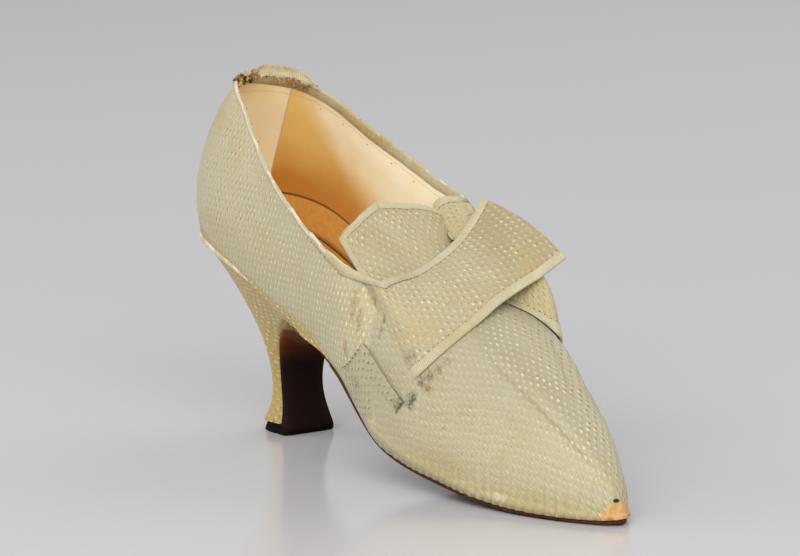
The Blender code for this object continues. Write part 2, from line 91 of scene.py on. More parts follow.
# Sections of the quarter from the throat to the back. Columns: collar along, half breadth,
# height, far side above near, low fullness, high fullness, turn in degrees.
QUARTER = (
    (116.0, 29.5, 84.4, 8.0, 5.5, 3.0, 90.0), (104.0, 32.6, 92.6, 8.0, 6.0, 3.0, 90.0),
    (86.0, 32.4, 100.0, 5.0, 6.5, 3.0, 90.0), (68.0, 30.6, 108.6, 3.0, 7.0, 3.0, 90.0),
    (50.0, 26.2, 118.0, 2.0, 7.5, 3.5, 87.0), (33.0, 21.2, 129.0, 0.0, 8.0, 4.5, 78.0),
    (20.0, 16.0, 134.6, 0.0, 8.0, 5.5, 60.0), (10.0, 9.0, 136.8, 0.0, 8.0, 7.0, 32.0),
    (5.5, 0.0, 137.2, 0.0, 8.0, 8.0, 0.0),
)
QUARTER_LIFT = 0.30
# How far the near collar has sunk: steps back of the throat, then millimetres.
COLLAR_SUNK = (
    (0.7, 0.9, 1.2, 1.5, 1.8, 2.2, 2.6, 3.0, 3.5, 4.0, 4.5, 5.0, 5.7),
    (0.0, 1.6, 2.9, 3.4, 3.6, 4.2, 4.2, 3.7, 3.0, 2.6, 1.9, 0.9, 0.0),
)

# Near latchet from beside its root to its free end.
# Columns: top edge along, out, up, bottom edge along, out, up, crown.
NEAR_LATCHET = (
    (128.8, -24.0, 73.0, 156.8, -24.1, 46.0, 2.0),
    (128.5, -15.0, 74.4, 160.6, -15.5, 54.0, 2.4),
    (127.3, -6.0, 76.2, 161.4, -5.6, 60.3, 2.6),
    (125.0, 4.0, 79.4, 161.4, 5.0, 66.3, 2.6),
    (123.8, 13.0, 84.2, 162.2, 15.6, 71.7, 2.6),
    (121.8, 21.0, 90.0, 164.2, 24.0, 76.2, 2.8),
    (119.4, 29.5, 98.4, 167.3, 32.0, 82.3, 3.0),
)

# Far latchet from beside its root to its end on the tongue.
# Columns: back edge along, out, up, front edge along, out, up, crown.
FAR_LATCHET = (
    (123.0, 32.0, 83.0, 166.0, 29.5, 49.5, 6.0),
    (115.0, 29.4, 93.6, 172.6, 24.0, 55.2, 10.0),
    (102.0, 26.4, 97.6, 164.0, 18.2, 61.4, 6.5),
    (98.5, 22.0, 93.0, 155.0, 13.0, 64.8, 3.0),
    (118.0, 17.0, 84.6, 149.0, 9.0, 69.8, 1.0),
)

# The roots of the latchets on the side of the shoe. Columns: steps back of the throat, height share.
NEAR_ROOT = ((0.62, 0.985), (-1.20, 0.55))
FAR_ROOT = ((0.30, 0.90), (-1.70, 0.63))

# Tongue: section row of its foot, row of its top at each share across it, and half breadths as shares.
TONGUE_START = 7.2
TONGUE_FOLD = -0.09
TONGUE_TOP = ((-1.0, -0.55, -0.09, 0.19, 1.0), (9.90, 9.79, 9.92, 9.68, 9.62))
TONGUE_SHARES = (0.44, 0.58)
TONGUE_TOE = 0.28


def linear(red, green, blue):
    """A colour as the eye sees it, 0 to 255, turned into the linear values that shaders take."""
    values = []
    for channel in (red, green, blue):
        value = channel / 255.0
        values.append(value / 12.92 if value <= 0.04045 else ((value + 0.055) / 1.055) ** 2.4)
    return tuple(values)


def colour(name, description, red, green, blue):
    return bpy.props.FloatVectorProperty(
        name=name, description=description, subtype="COLOR", size=3, min=0.0, max=1.0,
        default=linear(red, green, blue),
    )


def length(name, description, millimetres):
    return bpy.props.FloatProperty(
        name=name, description=description, unit="LENGTH", min=0.0, default=millimetres * MM,
    )


class ShoeColours(bpy.types.PropertyGroup):
    """Colours of the shoe's cloth and leather."""

    ground: colour("Silk ground", "Ground of the figured silk", 190, 181, 150)
    floats: colour("Silk floats", "Woven dots where they catch the light", 240, 228, 190)
    shaded: colour("Shaded floats", "Woven dots where they lie in shade", 128, 124, 92)
    golden: colour("Golden silk", "Yellowed silk on the heel and at the edges", 182, 155, 90)
    ribbon: colour("Ribbon", "Ribbed binding ribbon", 208, 196, 158)
    lining: colour("Lining", "Linen lining where it is lit", 255, 246, 214)
    # Painted shade in the lining: golden brown lower down and past the back seam, deep orange-brown low in
    # the shoe.
    lining_shade: colour("Shaded lining", "Linen lining where it has darkened", 238, 200, 112)
    lining_deep_shade: colour("Deep lining", "Linen lining low in the shoe", 198, 124, 20)
    thread: colour("Thread", "Dark sewing thread", 70, 64, 46)
    stain: colour("Stain", "Brown stains", 160, 120, 46)
    dirt: colour("Dirt", "Dark worn spots", 74, 66, 36)
    tan: colour("Bare leather", "Leather bared at the toe", 206, 152, 84)
    sole: colour("Sole", "Sole leather", 94, 52, 34)
    breast: colour("Breast", "Dark leather down the heel breast", 30, 14, 8)
    lift: colour("Top lift", "Leather under the heel", 24, 12, 7)
    insole: colour("Insole", "Insole leather", 222, 168, 76)
    floor: colour("Floor", "Studio floor", 206, 205, 207)


class ShoeSizes(bpy.types.PropertyGroup):
    """Sizes of the cloth, ribbon and stitches."""

    dot_along: length("Dot pitch", "Distance between woven dots in a row", 2.8)
    dot_across: length("Row pitch", "Distance between rows of dots", 2.55)
    dot_breadth: length("Dot breadth", "Half breadth of a woven dot", 0.56)
    dot_height: length("Dot height", "Half height of a woven dot", 0.82)
    ribbon: length("Ribbon", "Breadth of the binding that shows", 3.7)
    rib: length("Rib", "Pitch of the ribbon's ribs", 0.75)
    stitch: length("Stitch", "Distance between stitches", 2.1)


def bezier(controls, share):
    start, first, second, end = controls
    rest = 1.0 - share
    return (
        start * rest ** 3
        + first * 3.0 * rest ** 2 * share
        + second * 3.0 * rest * share ** 2
        + end * share ** 3
    )


def lower_part(controls, share):
    """The piece of a Bezier curve below a share of it."""
    start, first, second, end = controls
    a = start + (first - start) * share
    b = first + (second - first) * share
    c = second + (end - second) * share
    d = a + (b - a) * share
    e = b + (c - b) * share
    return np.array((start, a, d, d + (e - d) * share))


def through(rows, position):
    """A smooth curve through the rows at a place counted in rows."""
    last = len(rows) - 1
    index = min(max(int(math.floor(position)), 0), last - 1)
    part = position - index
    first = rows[index]
    second = rows[index + 1]
    before = rows[index - 1] if index > 0 else first * 2.0 - second
    after = rows[index + 2] if index + 2 <= last else second * 2.0 - first
    return 0.5 * (
        first * 2.0
        + (second - before) * part
        + (before * 2.0 - first * 5.0 + second * 4.0 - after) * part ** 2
        + (first * 3.0 - before - second * 3.0 + after) * part ** 3
    )


def graded(along, across, height, grade=GRADE_UP):
    """A point of the pattern last in the shoe's own metres."""
    return np.array(((along - MIDDLE) * GRADE_ALONG, across * GRADE_ACROSS, height * grade)) * MM


def instep_controls(number, side):
    ridge, height, *halves, lean = INSTEP[number]
    low, high, lift = halves[:3] if side < 0.0 else halves[3:]
    feather = graded(FEATHER[number, 0], side * FEATHER[number, 1], FEATHER[number, 2])
    top = graded(ridge, 0.0, height, GRADE_INSTEP)
    rise = top[2] - feather[2]
    reach = top[0] - feather[0]
    full = high * GRADE_ACROSS * MM
    breadth = abs(feather[1]) + low * GRADE_ACROSS * MM
    first = np.array((
        feather[0] + reach / 3.0,
        side * breadth,
        feather[2] + rise * lift + lean * side * breadth * 0.5,
    ))
    second = np.array((feather[0] + reach * 2.0 / 3.0, side * full, top[2] + lean * side * full))
    return np.array((feather, first, second, top))


def nose(sections):
    """The sections with a mirrored row before the toe, so the toe comes out round."""
    mirrored = sections[1] * np.array((1.0, -1.0, 1.0))
    return np.concatenate((mirrored[None], sections))


NEAR_SECTIONS = np.array([instep_controls(number, -1.0) for number in range(len(INSTEP))])
FAR_SECTIONS = np.array([instep_controls(number, 1.0) for number in range(len(INSTEP))])
NEAR_NOSE = nose(NEAR_SECTIONS)
FAR_NOSE = nose(FAR_SECTIONS)


def vamp(position, share):
    """A point of the vamp and instep: share -1 near feather, 0 ridge, +1 far feather."""
    sections = NEAR_NOSE if share < 0.0 else FAR_NOSE
    return bezier(through(sections, position + 1.0), 1.0 - abs(share))


def vamp_normal(position, share):
    step = 0.02
    ahead = vamp(max(position - step, 0.0), share) - vamp(position + step, share)
    over = vamp(position, share + step) - vamp(position, share - step)
    return unit(np.cross(ahead, over))


def quarter_controls(number, side):
    place = FEATHER[THROAT_ROW + 1 + number]
    collar, half, height, tilt, low, high, turn = QUARTER[number]
    out = np.array((-math.cos(math.radians(turn)), side * math.sin(math.radians(turn)), 0.0))
    out *= GRADE_ACROSS * MM
    feather = graded(place[0], side * place[1], place[2])
    edge = graded(collar, side * half, height + side * tilt * 0.5)
    rise = (edge - feather) * QUARTER_LIFT
    first = feather + rise * np.array((0.4, 0.4, 1.0)) + out * low
    second = edge - rise * np.array((1.6, 1.6, 1.0)) + out * high
    return np.array((feather, first, second, edge))


def quarter_sections():
    """Sections from beside the near throat round the back to beside the far throat."""
    rows = {}
    for side, sections in ((-1.0, NEAR_SECTIONS), (1.0, FAR_SECTIONS)):
        rows[side] = [
            lower_part(sections[THROAT_ROW - 1], CORNER_SHARE),
            lower_part(sections[THROAT_ROW], CORNER_SHARE),
        ]
        rows[side] += [quarter_controls(number, side) for number in range(len(QUARTER))]
    return np.array(rows[-1.0] + rows[1.0][-2::-1])


QUARTER_RING = quarter_sections()
QUARTER_STEPS = len(QUARTER_RING) - 3


def quarter(step, height):
    """A point of the quarters: step 0 at the near throat, the last step at the far throat."""
    point = bezier(through(QUARTER_RING, 1.0 + step), height)
    sunk = float(np.interp(step, *COLLAR_SUNK)) * max(height - 0.5, 0.0) * 2.0
    return point - np.array((0.0, 0.0, sunk * MM))


def quarter_normal(step, height):
    small = 0.01
    ahead = quarter(step + small, height) - quarter(step - small, height)
    over = quarter(step, min(height + small, 1.0)) - quarter(step, max(height - small, 0.0))
    return unit(np.cross(over, ahead))


def flank(back, height, side=-1.0):
    """A point low on one side of the shoe, counted in steps back of the throat."""
    if back > 0.0:
        return quarter(back if side < 0.0 else QUARTER_STEPS - back, height)
    return vamp(THROAT_ROW + back, side * (1.0 - CORNER_SHARE * height))


def rising(value, low, high):
    """A smooth rise from 0 at the low value to 1 at the high one."""
    part = min(max((value - low) / (high - low), 0.0), 1.0)
    return part * part * (3.0 - 2.0 * part)


def unit(vector):
    return vector / max(np.linalg.norm(vector), 1e-12)


def lay_grid(work, points, weave, toward=None, finish=0):
    """Adds a grid to a mesh in the making, its points and weave given row by row."""
    rows = len(points) - 1
    columns = len(points[0]) - 1
    layer = work.loops.layers.uv.get("weave") or work.loops.layers.uv.new("weave")
    made = bmesh.ops.create_grid(work, x_segments=rows, y_segments=columns, size=0.5)
    place = {}
    for vert in made["verts"]:
        row = int(round((vert.co.x + 0.5) * rows))
        column = int(round((vert.co.y + 0.5) * columns))
        place[vert] = (row, column)
    faces = list({face for vert in made["verts"] for face in vert.link_faces})
    for vert, (row, column) in place.items():
        vert.co = points[row][column]
    for face in faces:
        face.smooth = True
        face.material_index = finish
        for loop in face.loops:
            row, column = place[loop.vert]
            loop[layer].uv = weave[row][column]
    if toward is not None:
        middle = [face for face in faces if rows // 2 in {place[v][0] for v in face.verts}]
        score = 0.0
        for face in middle:
            face.normal_update()
            score += face.normal.dot(Vector(toward(np.array(face.calc_center_median()))))
        if score < 0.0:
            bmesh.ops.reverse_faces(work, faces=faces)
    return place


def finished(name, work, coats, replaces=(), wall=0.0, offset=-1.0):
    """Turns a mesh in the making into a piece that rides on the shoe."""
    mesh = bpy.data.meshes.new(name)
    work.normal_update()
    work.to_mesh(mesh)
    work.free()
    piece = bpy.data.objects.new(name, mesh)
    bpy.context.scene.collection.objects.link(piece)
    for coat in coats:
        mesh.materials.append(coat)
    if wall:
        thick = piece.modifiers.new("Thickness", "SOLIDIFY")
        thick.thickness = wall
        thick.offset = offset
        thick.use_even_offset = False
    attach(piece, "root")
    for node in replaces:
        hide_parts(node)
    return piece


def sheet(rows, columns, spot):
    """A grid of points, from a function of the shares along and across it."""
    return np.array([
        [spot(row / rows, column / columns) for column in range(columns + 1)] for row in range(rows + 1)
    ])


def measured(points, axis):
    """Lengths along each line of a grid of points, counted from where the line starts."""
    steps = np.linalg.norm(np.diff(points, axis=axis), axis=2)
    start = np.zeros_like(np.take(steps, [0], axis=axis))
    return np.concatenate((start, np.cumsum(steps, axis=axis)), axis=axis)


def middle_run(points):
    """Lengths along the middle line of a grid of points, the same over its whole breadth."""
    columns = len(points[0])
    return np.repeat(measured(points, 0)[:, columns // 2][:, None], columns, axis=1)


class Value:
    """A number, place or colour in a finish. Its sums add the nodes that work them out."""

    def __init__(self, finish, socket):
        self.finish = finish
        self.socket = socket

    def __add__(self, other):
        return self.finish.math("ADD", self, other)

    def __sub__(self, other):
        return self.finish.math("SUBTRACT", self, other)

    def __rsub__(self, other):
        return self.finish.math("SUBTRACT", other, self)

    def __mul__(self, other):
        return self.finish.math("MULTIPLY", self, other)

    def __truediv__(self, other):
        return self.finish.math("DIVIDE", self, other)

    def __abs__(self):
        return self.finish.math("ABSOLUTE", self)

    __radd__ = __add__
    __rmul__ = __mul__

    def length(self):
        return self.finish.math("LENGTH", self)

    def fade(self, low, high, bottom=0.0, top=1.0):
        """A smooth change from bottom to top as the value goes from low to high."""
        inputs = dict(enumerate((self, low, high, bottom, top)))
        return self.finish.add("ShaderNodeMapRange", inputs, interpolation_type="SMOOTHSTEP")

    def noise(self, scale, detail=3.0, output="Fac"):
        inputs = {"Vector": self, "Scale": scale, "Detail": detail}
        return self.finish.add("ShaderNodeTexNoise", inputs, output)

    def turned(self, scale=(1.0, 1.0, 1.0), turn=0.0):
        inputs = {"Vector": self, "Scale": scale, "Rotation": (0.0, 0.0, turn)}
        return self.finish.add("ShaderNodeMapping", inputs)

    def parts(self):
        first = self.finish.add("ShaderNodeSeparateXYZ", {0: self})
        return [Value(self.finish, socket) for socket in first.socket.node.outputs]


class Finish:
    """A material, with short calls that add nodes to it and wire them."""

    def __init__(self, name, roughness):
        self.material = bpy.data.materials.new(name)
        self.material.use_nodes = True
        self.tree = self.material.node_tree
        self.surface = self.tree.nodes["Principled BSDF"]
        self.set("Roughness", roughness)
        # Places on the shoe in millimetres.
        self.body = self.add("ShaderNodeTexCoord", {}, "Object").turned(TO_MILLIMETRES)

    def add(self, kind, inputs, output=0, **settings):
        """One output of a new node, after its settings are made and its inputs wired."""
        node = self.tree.nodes.new(kind)
        for key, value in settings.items():
            setattr(node, key, value)
        for key, value in inputs.items():
            self.wire(node.inputs[key], value)
        return Value(self, node.outputs[output])

    def wire(self, socket, value):
        if isinstance(value, Value):
            self.tree.links.new(value.socket, socket)
        elif socket.type == "RGBA":
            socket.default_value = (*value, 1.0)
        else:
            socket.default_value = value

    def set(self, name, value):
        self.wire(self.surface.inputs[name], value)

    def math(self, operation, *operands):
        """A sum of numbers, or of places where the first operand is one."""
        first = operands[0]
        numbers = not isinstance(first, Value) or first.socket.type == "VALUE"
        kind = "ShaderNodeMath" if numbers else "ShaderNodeVectorMath"
        output = "Value" if operation == "LENGTH" else 0
        return self.add(kind, dict(enumerate(operands)), output, operation=operation)

    def mix(self, factor, first, second, blend="MIX"):
        inputs = {0: factor, 6: first, 7: second}
        return self.add("ShaderNodeMix", inputs, 2, data_type="RGBA", blend_type=blend)

    def joined(self, first, second):
        return self.add("ShaderNodeCombineXYZ", {0: first, 1: second})

    def weave(self):
        """Places on the cloth in millimetres."""
        return self.add("ShaderNodeUVMap", {}, uv_map="weave").turned(TO_MILLIMETRES)

    def bump(self, height, strength, distance):
        inputs = {"Height": height, "Strength": strength, "Distance": distance}
        self.set("Normal", self.add("ShaderNodeBump", inputs))

    def dots(self, place, bold):
        """Masks of the woven dots and of the shaded gaps beside them, and a chance for each dot."""
        sizes = bpy.context.scene.shoe_sizes
        breadth = sizes.dot_breadth / MM * bold
        along = sizes.dot_along / MM
        across = sizes.dot_across / MM
        tall = across / (sizes.dot_height / MM)
        drift = (place.noise(0.16, 2.0, "Color") - (0.5, 0.5, 0.5)) * (2.0, 2.0, 0.0)
        x, y, _ = (place + drift).parts()
        row_place = y / across
        row = self.math("FLOOR", row_place)
        column_place = x / along + self.math("FLOORED_MODULO", row, 2.0) * 0.5
        column = self.math("FLOOR", column_place)
        beside = column_place - column - 0.5
        above = row_place - row - 0.5
        lit = self.joined(beside * (along / breadth), above * tall)
        gap = self.joined((beside - 0.31) * (along / (breadth * 0.8)), (above - 0.2) * tall)
        cell = {"Vector": self.joined(column, row)}
        chance = self.add("ShaderNodeTexWhiteNoise", cell, "Value", noise_dimensions="2D")
        return lit.length().fade(1.25, 0.35), gap.length().fade(1.25, 0.35), chance

    def stained(self, tint, stains):
        """The colour with soft-edged stains and a few patches of painted shadow, given by centre, radii,
        colour and strength.
        """
        ragged = (self.body.noise(0.35, 4.0) - 0.5) * 1.7
        speckle = self.body.noise(1.1, 4.0).fade(0.36, 0.62, 0.25, 1.0)
        for centre, radii, key, strength in stains:
            away = ((self.body - centre) / radii).length() + ragged
            stain = getattr(bpy.context.scene.shoe_colours, key)
            tint = self.mix(away.fade(1.1, 0.1) * speckle * strength, tint, stain)
        return tint


def figured_silk(name, lit, gaps, stains=(), turn=0.0, golden=0.0, paint=None, worn=None, bold=1.0,
                 place_of=Finish.weave):
    """Silk woven with small dots, yellowed and worn. How strongly its dots are painted lit, and how dark
    the painted shade in the gaps beside them is, are numbers or functions of the place on the shoe."""
    colours = bpy.context.scene.shoe_colours
    finish = Finish(name, 0.6)
    body = finish.body
    cloth = place_of(finish)
    if turn:
        cloth = cloth.turned(turn=turn)
    mask, gap, chance = finish.dots(cloth, bold)
    ground = tuple(a + (b - a) * golden for a, b in zip(colours.ground, colours.golden))
    tint = finish.mix(body.noise(0.055, 4.0).fade(0.45, 0.75) * 0.30, ground, colours.golden)
    cool = (ground[0] * 1.04, ground[1] * 1.10, ground[2] * 1.20)
    tint = finish.mix(body.noise(0.09).fade(0.48, 0.75) * 0.6, tint, cool)
    grain = cloth.turned((0.8, 4.6, 1.0)).noise(1.0) * 0.5 + cloth.noise(2.3, 2.0) * 0.5
    shade = finish.mix(grain.fade(0.3, 0.7), linear(112, 104, 74), linear(255, 250, 228))
    tint = finish.mix(0.56, tint, shade, "SOFT_LIGHT")
    if paint is not None:
        tint = paint(finish, tint)
    lit_share = lit(*body.parts()) if callable(lit) else lit
    gap_shade_share = gaps(*body.parts()) if callable(gaps) else gaps
    each = (chance * 0.75 + 0.35) * body.noise(0.13).fade(0.3, 0.62, 0.35, 1.0)
    # Painted shade in the gaps beside the dots, then painted highlights on the dots.
    tint = finish.mix(gap * each * gap_shade_share, tint, colours.shaded)
    tint = finish.mix(mask * each * lit_share, tint, colours.floats)
    if worn is not None:
        tint = worn(finish, tint)
    finish.set("Base Color", finish.stained(tint, stains))
    finish.set("Roughness", 0.62 - mask * 0.14)
    finish.set("Sheen Weight", 0.18)
    finish.set("Sheen Roughness", 0.45)
    finish.bump(mask * 0.6 + grain - gap * 0.4, 0.5, 0.0004)
    return finish.material


def vamp_wear_and_shade(finish, tint):
    """Painted shade in the creases and beside the main crease on the far side, the silk darker higher up, and
    yellowed along the sole.
    """
    x, y, z = finish.body.parts()
    # Painted shade: the creases darkened.
    crease = finish.add("ShaderNodeAttribute", {}, "Fac", attribute_name="crease")
    tint = finish.mix(crease * 0.5, tint, linear(100, 93, 62))
    # Painted shade on the far side of the main crease, where the vamp turns away.
    beyond = y + (105.0 - x) * 0.08 + 4.0
    far_side_shade = beyond.fade(-0.6, 1.6) * beyond.fade(16.0, 3.0, 0.0, 0.3)
    tint = finish.mix(far_side_shade, tint, linear(140, 134, 108))
    # Darker higher up the vamp.
    tint = finish.mix(z.fade(20.0, 46.0, 0.14, 0.48), tint, linear(160, 153, 128))
    edge = z - (90.0 - x) * 0.08 + finish.body.noise(0.3) * 7.0
    yellow = edge.fade(15.0, 8.0) * x.fade(16.0, 34.0) * 0.55
    return finish.mix(yellow, tint, linear(186, 168, 112))


def strap_dulled(finish, tint):
    """The latchets' and tongue's silk, duller in cloudy patches, less so at the near root, and darker toward
    the far side.
    """
    _, y, _ = finish.body.parts()
    worn = finish.body.noise(0.08).fade(0.3, 0.7, 0.35, 0.65) * y.fade(-27.0, -14.0, 0.55, 1.0)
    tint = finish.mix(worn, tint, linear(166, 151, 112))
    return finish.mix(y.fade(2.0, 26.0, 0.0, 0.5), tint, linear(160, 142, 98))


def seat_wear(finish, tint):
    """The quarters yellowed in a band above the heel and waist."""
    x, _, z = finish.body.parts()
    above = z - (30.86 - x * 0.405) + finish.body.noise(0.3) * 2.4
    band = above.fade(6.5, 2.2) * x.fade(-8.0, -24.0) * 0.85
    return finish.mix(band, tint, bpy.context.scene.shoe_colours.golden)


def wing_wear(finish, tint):
    """The wing's silk, duller than the rest."""
    return finish.mix(0.4, tint, linear(166, 162, 124))


def bared_toe(finish, tint):
    """The toe tip worn through to its leather, with a small hole painted dark as its shade."""
    x, _, z = finish.body.parts()
    rough = finish.body.noise(0.9, 4.0)
    reach = x - z * 0.62 + (rough - 0.5) * 5.0
    tan = bpy.context.scene.shoe_colours.tan
    leather = finish.mix(rough.fade(0.3, 0.75), tan, linear(224, 184, 120))
    tint = finish.mix(reach.fade(115.6, 117.0), tint, leather)
    # Painted shade: the hole's dark inside.
    away = ((finish.body - (121.6, -1.6, 8.7)) / (1.25, 1.25, 0.75)).length()
    return finish.mix(away.fade(1.15, 0.75), tint, linear(30, 16, 8))


def ribbed_ribbon(name, stains=(), rubbed=0.0):
    """Binding ribbon with fine ribs across it, and a fold rubbed as pale as asked."""
    colours = bpy.context.scene.shoe_colours
    finish = Finish(name, 0.55)
    body = finish.body
    cloth = finish.weave()
    along, across, _ = cloth.parts()
    turns = 2.0 * math.pi / (bpy.context.scene.shoe_sizes.rib / MM)
    wave = (along + across * 0.12 + cloth.noise(0.6, 2.0) * 0.5) * turns
    rib = (finish.math("SINE", wave) + 1.0) * 0.5
    deep = tuple(channel * 0.74 for channel in colours.ribbon)
    tint = finish.mix(rib, deep, colours.ribbon)
    cloudy = body.noise(0.12).fade(0.4, 0.75)
    tint = finish.mix(cloudy * 0.35, tint, colours.golden)
    tint = finish.mix(body.noise(0.2).fade(0.5, 0.7) * 0.3, tint, linear(216, 214, 190))
    tint = finish.mix(body.noise(0.35, 4.0).fade(0.6, 0.8) * 0.35, tint, colours.stain)
    if rubbed:
        fold = abs(across + cloudy - 0.5).fade(0.5, 0.15) * rubbed
        tint = finish.mix(fold, tint, linear(244, 234, 206))
    finish.set("Base Color", finish.stained(tint, stains))
    finish.set("Sheen Weight", 0.15)
    finish.bump(rib, 0.4, 0.0003)
    return finish.material


def thread_finish():
    finish = Finish("sewing_thread", 0.7)
    twist = finish.body.noise(2.2, 2.0)
    thread = bpy.context.scene.shoe_colours.thread
    finish.set("Base Color", finish.mix(twist, thread, linear(112, 100, 70)))
    finish.bump(twist, 0.3, 0.0002)
    return finish.material


def mottled_finish(name, scale, high, dark, light):
    """A dull finish in two cloudy colours, the light one from the high value of its noise on."""
    finish = Finish(name, 0.8)
    tone = finish.body.noise(scale)
    finish.set("Base Color", finish.mix(tone.fade(0.4, high), dark, light))
    finish.bump(tone, 0.2, 0.0002)
    return finish.material


def leather_finish(name, base, deep, worn, grain, roughness, gloss=0.3):
    """Leather with pores, a mottled colour and rubbed places."""
    finish = Finish(name, roughness)
    mottle = finish.body.noise(0.12, 5.0)
    pores = finish.body.noise(grain)
    tint = finish.mix(mottle.fade(0.35, 0.7), base, deep)
    rubbed = finish.body.noise(0.45, 5.0).fade(0.56, 0.74) * 0.6
    finish.set("Base Color", finish.mix(rubbed, tint, worn))
    finish.set("Roughness", pores.fade(0.3, 0.7, roughness - 0.08, roughness + 0.1))
    finish.set("Specular IOR Level", gloss)
    finish.bump(pores + mottle * 0.6, 0.4, 0.0004)
    return finish


# Stains on the vamp and quarters in millimetres of the shoe. Columns: centre, radii, colour, strength.
UPPER_STAINS = (
    ((6.4, -28.6, 62.5), (2.2, 6.0, 8.0), "stain", 0.8),
    ((9.6, -28.6, 56.5), (1.8, 6.0, 6.5), "stain", 0.75),
    ((2.3, -29.5, 46.0), (2.4, 6.0, 5.0), "stain", 0.8),
    ((45.0, -22.4, 41.0), (7.0, 6.0, 6.0), "stain", 0.35),
    ((42.4, -24.5, 39.4), (2.6, 3.0, 2.6), "dirt", 0.75),
    ((44.6, -22.6, 41.6), (2.6, 3.0, 2.4), "dirt", 0.7),
    ((46.6, -20.3, 44.0), (2.4, 3.0, 2.2), "dirt", 0.6),
    ((48.0, -17.7, 46.4), (2.4, 3.0, 2.0), "dirt", 0.5),
    ((44.8, -24.5, 37.4), (3.4, 3.0, 2.4), "stain", 0.95),
    ((45.0, -24.4, 37.4), (1.8, 2.0, 1.3), "dirt", 0.8),
    ((38.7, -27.4, 31.8), (3.4, 3.0, 3.6), "dirt", 0.95),
    ((39.8, -26.9, 34.2), (2.4, 3.0, 2.6), "dirt", 0.8),
    ((81.4, -21.3, 5.2), (5.0, 3.0, 2.2), "floats", 0.6),
    ((55.0, -25.1, 25.4), (1.5, 2.0, 1.4), "stain", 0.8),
    ((54.0, -26.0, 13.5), (26.0, 9.0, 6.5), "golden", 0.5),
    ((96.0, -14.0, 7.0), (18.0, 8.0, 5.5), "golden", 0.45),
    ((-112.0, 0.0, 95.0), (9.0, 24.0, 34.0), "golden", 0.6),
    ((-98.0, -16.0, 117.0), (14.0, 10.0, 15.0), "golden", 0.6),
    ((20.4, -26.4, 58.4), (1.6, 3.5, 7.5), "dirt", 0.5),
    ((13.5, -24.5, 65.5), (4.2, 4.0, 4.6), "stain", 0.6),
    ((14.0, -24.5, 64.5), (2.6, 3.0, 3.2), "dirt", 0.4),
    ((41.0, -24.5, 45.5), (6.0, 4.0, 4.0), "dirt", 0.5),
)

# Folds of the vamp. Columns: depth and breadth in millimetres, how much painted shade darkens the
# line, then section row and share along it.
VAMP_FOLDS = (
    (0.75, 1.5, 1.0, (
        (5.7, -0.20), (5.03, -0.24), (4.03, -0.27), (3.27, -0.28), (2.47, -0.29), (1.7, -0.31),
    )),
    (-0.8, 5.0, 0.0, ((5.4, -0.36), (4.6, -0.38), (3.8, -0.39), (3.0, -0.40), (2.3, -0.42))),
    (1.0, 1.9, 0.7, ((5.6, 0.32), (5.15, 0.27), (4.47, 0.20), (3.91, 0.14), (3.4, 0.09))),
    (-0.8, 3.4, 0.0, ((5.6, 0.42), (5.0, 0.36), (4.4, 0.30), (3.8, 0.25))),
    (0.6, 2.2, 0.3, ((5.0, 0.52), (4.4, 0.46), (3.8, 0.41), (3.2, 0.36))),
    (0.45, 3.0, 0.0, ((6.6, -0.80), (5.9, -0.74), (5.2, -0.70))),
)
# Where the vamp is fullest under the far latchet, as section row and share, and its rise and reach.
VAMP_FULL = (6.0, 0.42)
FULL_RISE = 2.6 * MM
FULL_REACH = 15.0 * MM
# Slack of the silk on the last, and its pleats along the sole.
COARSE_SLACK = 0.24 * MM
FINE_SLACK = 0.08 * MM
PLEAT_DEPTH = 0.48 * MM
# The upper's grid: rows to a section, columns on a side and on top, rows to a step of the quarters.
ROW_GRID = 20
SIDE_GRID = 28
TOP_GRID = 30
STEP_GRID = 9


def vamp_share(column):
    """The share across the vamp at a column of its grid."""
    whole = SIDE_GRID + TOP_GRID
    side = -1.0 if column < whole else 1.0
    step = column if column <= whole else 2 * whole - column
    if step <= SIDE_GRID:
        return side * (1.0 - CORNER_SHARE * step / SIDE_GRID)
    return side * (1.0 - CORNER_SHARE) * (1.0 - (step - SIDE_GRID) / TOP_GRID)


def upper_grids():
    """Points and weave of the vamp and of the quarters."""
    rows = THROAT_ROW * ROW_GRID
    columns = 2 * (SIDE_GRID + TOP_GRID)
    shares = [vamp_share(column) for column in range(columns + 1)]
    front = np.array([[vamp(row / ROW_GRID, share) for share in shares] for row in range(rows + 1)])
    across = measured(front, 1)
    across = across - across[:, columns // 2][:, None]
    front_weave = np.stack((across, middle_run(front)), axis=2)
    back = sheet(QUARTER_STEPS * STEP_GRID, SIDE_GRID, lambda around, up: quarter(around * QUARTER_STEPS, up))
    back_weave = np.stack((middle_run(back), back[:, :, 2]), axis=2)
    return front, front_weave, back, back_weave


def outward(point):
    """Away from the middle of the foot."""
    height = np.interp(point[0], (-0.12, -0.04, 0.02, 0.12), (0.10, 0.08, 0.045, 0.01))
    return point - np.array((min(max(point[0], -0.085), 0.105), 0.0, height))


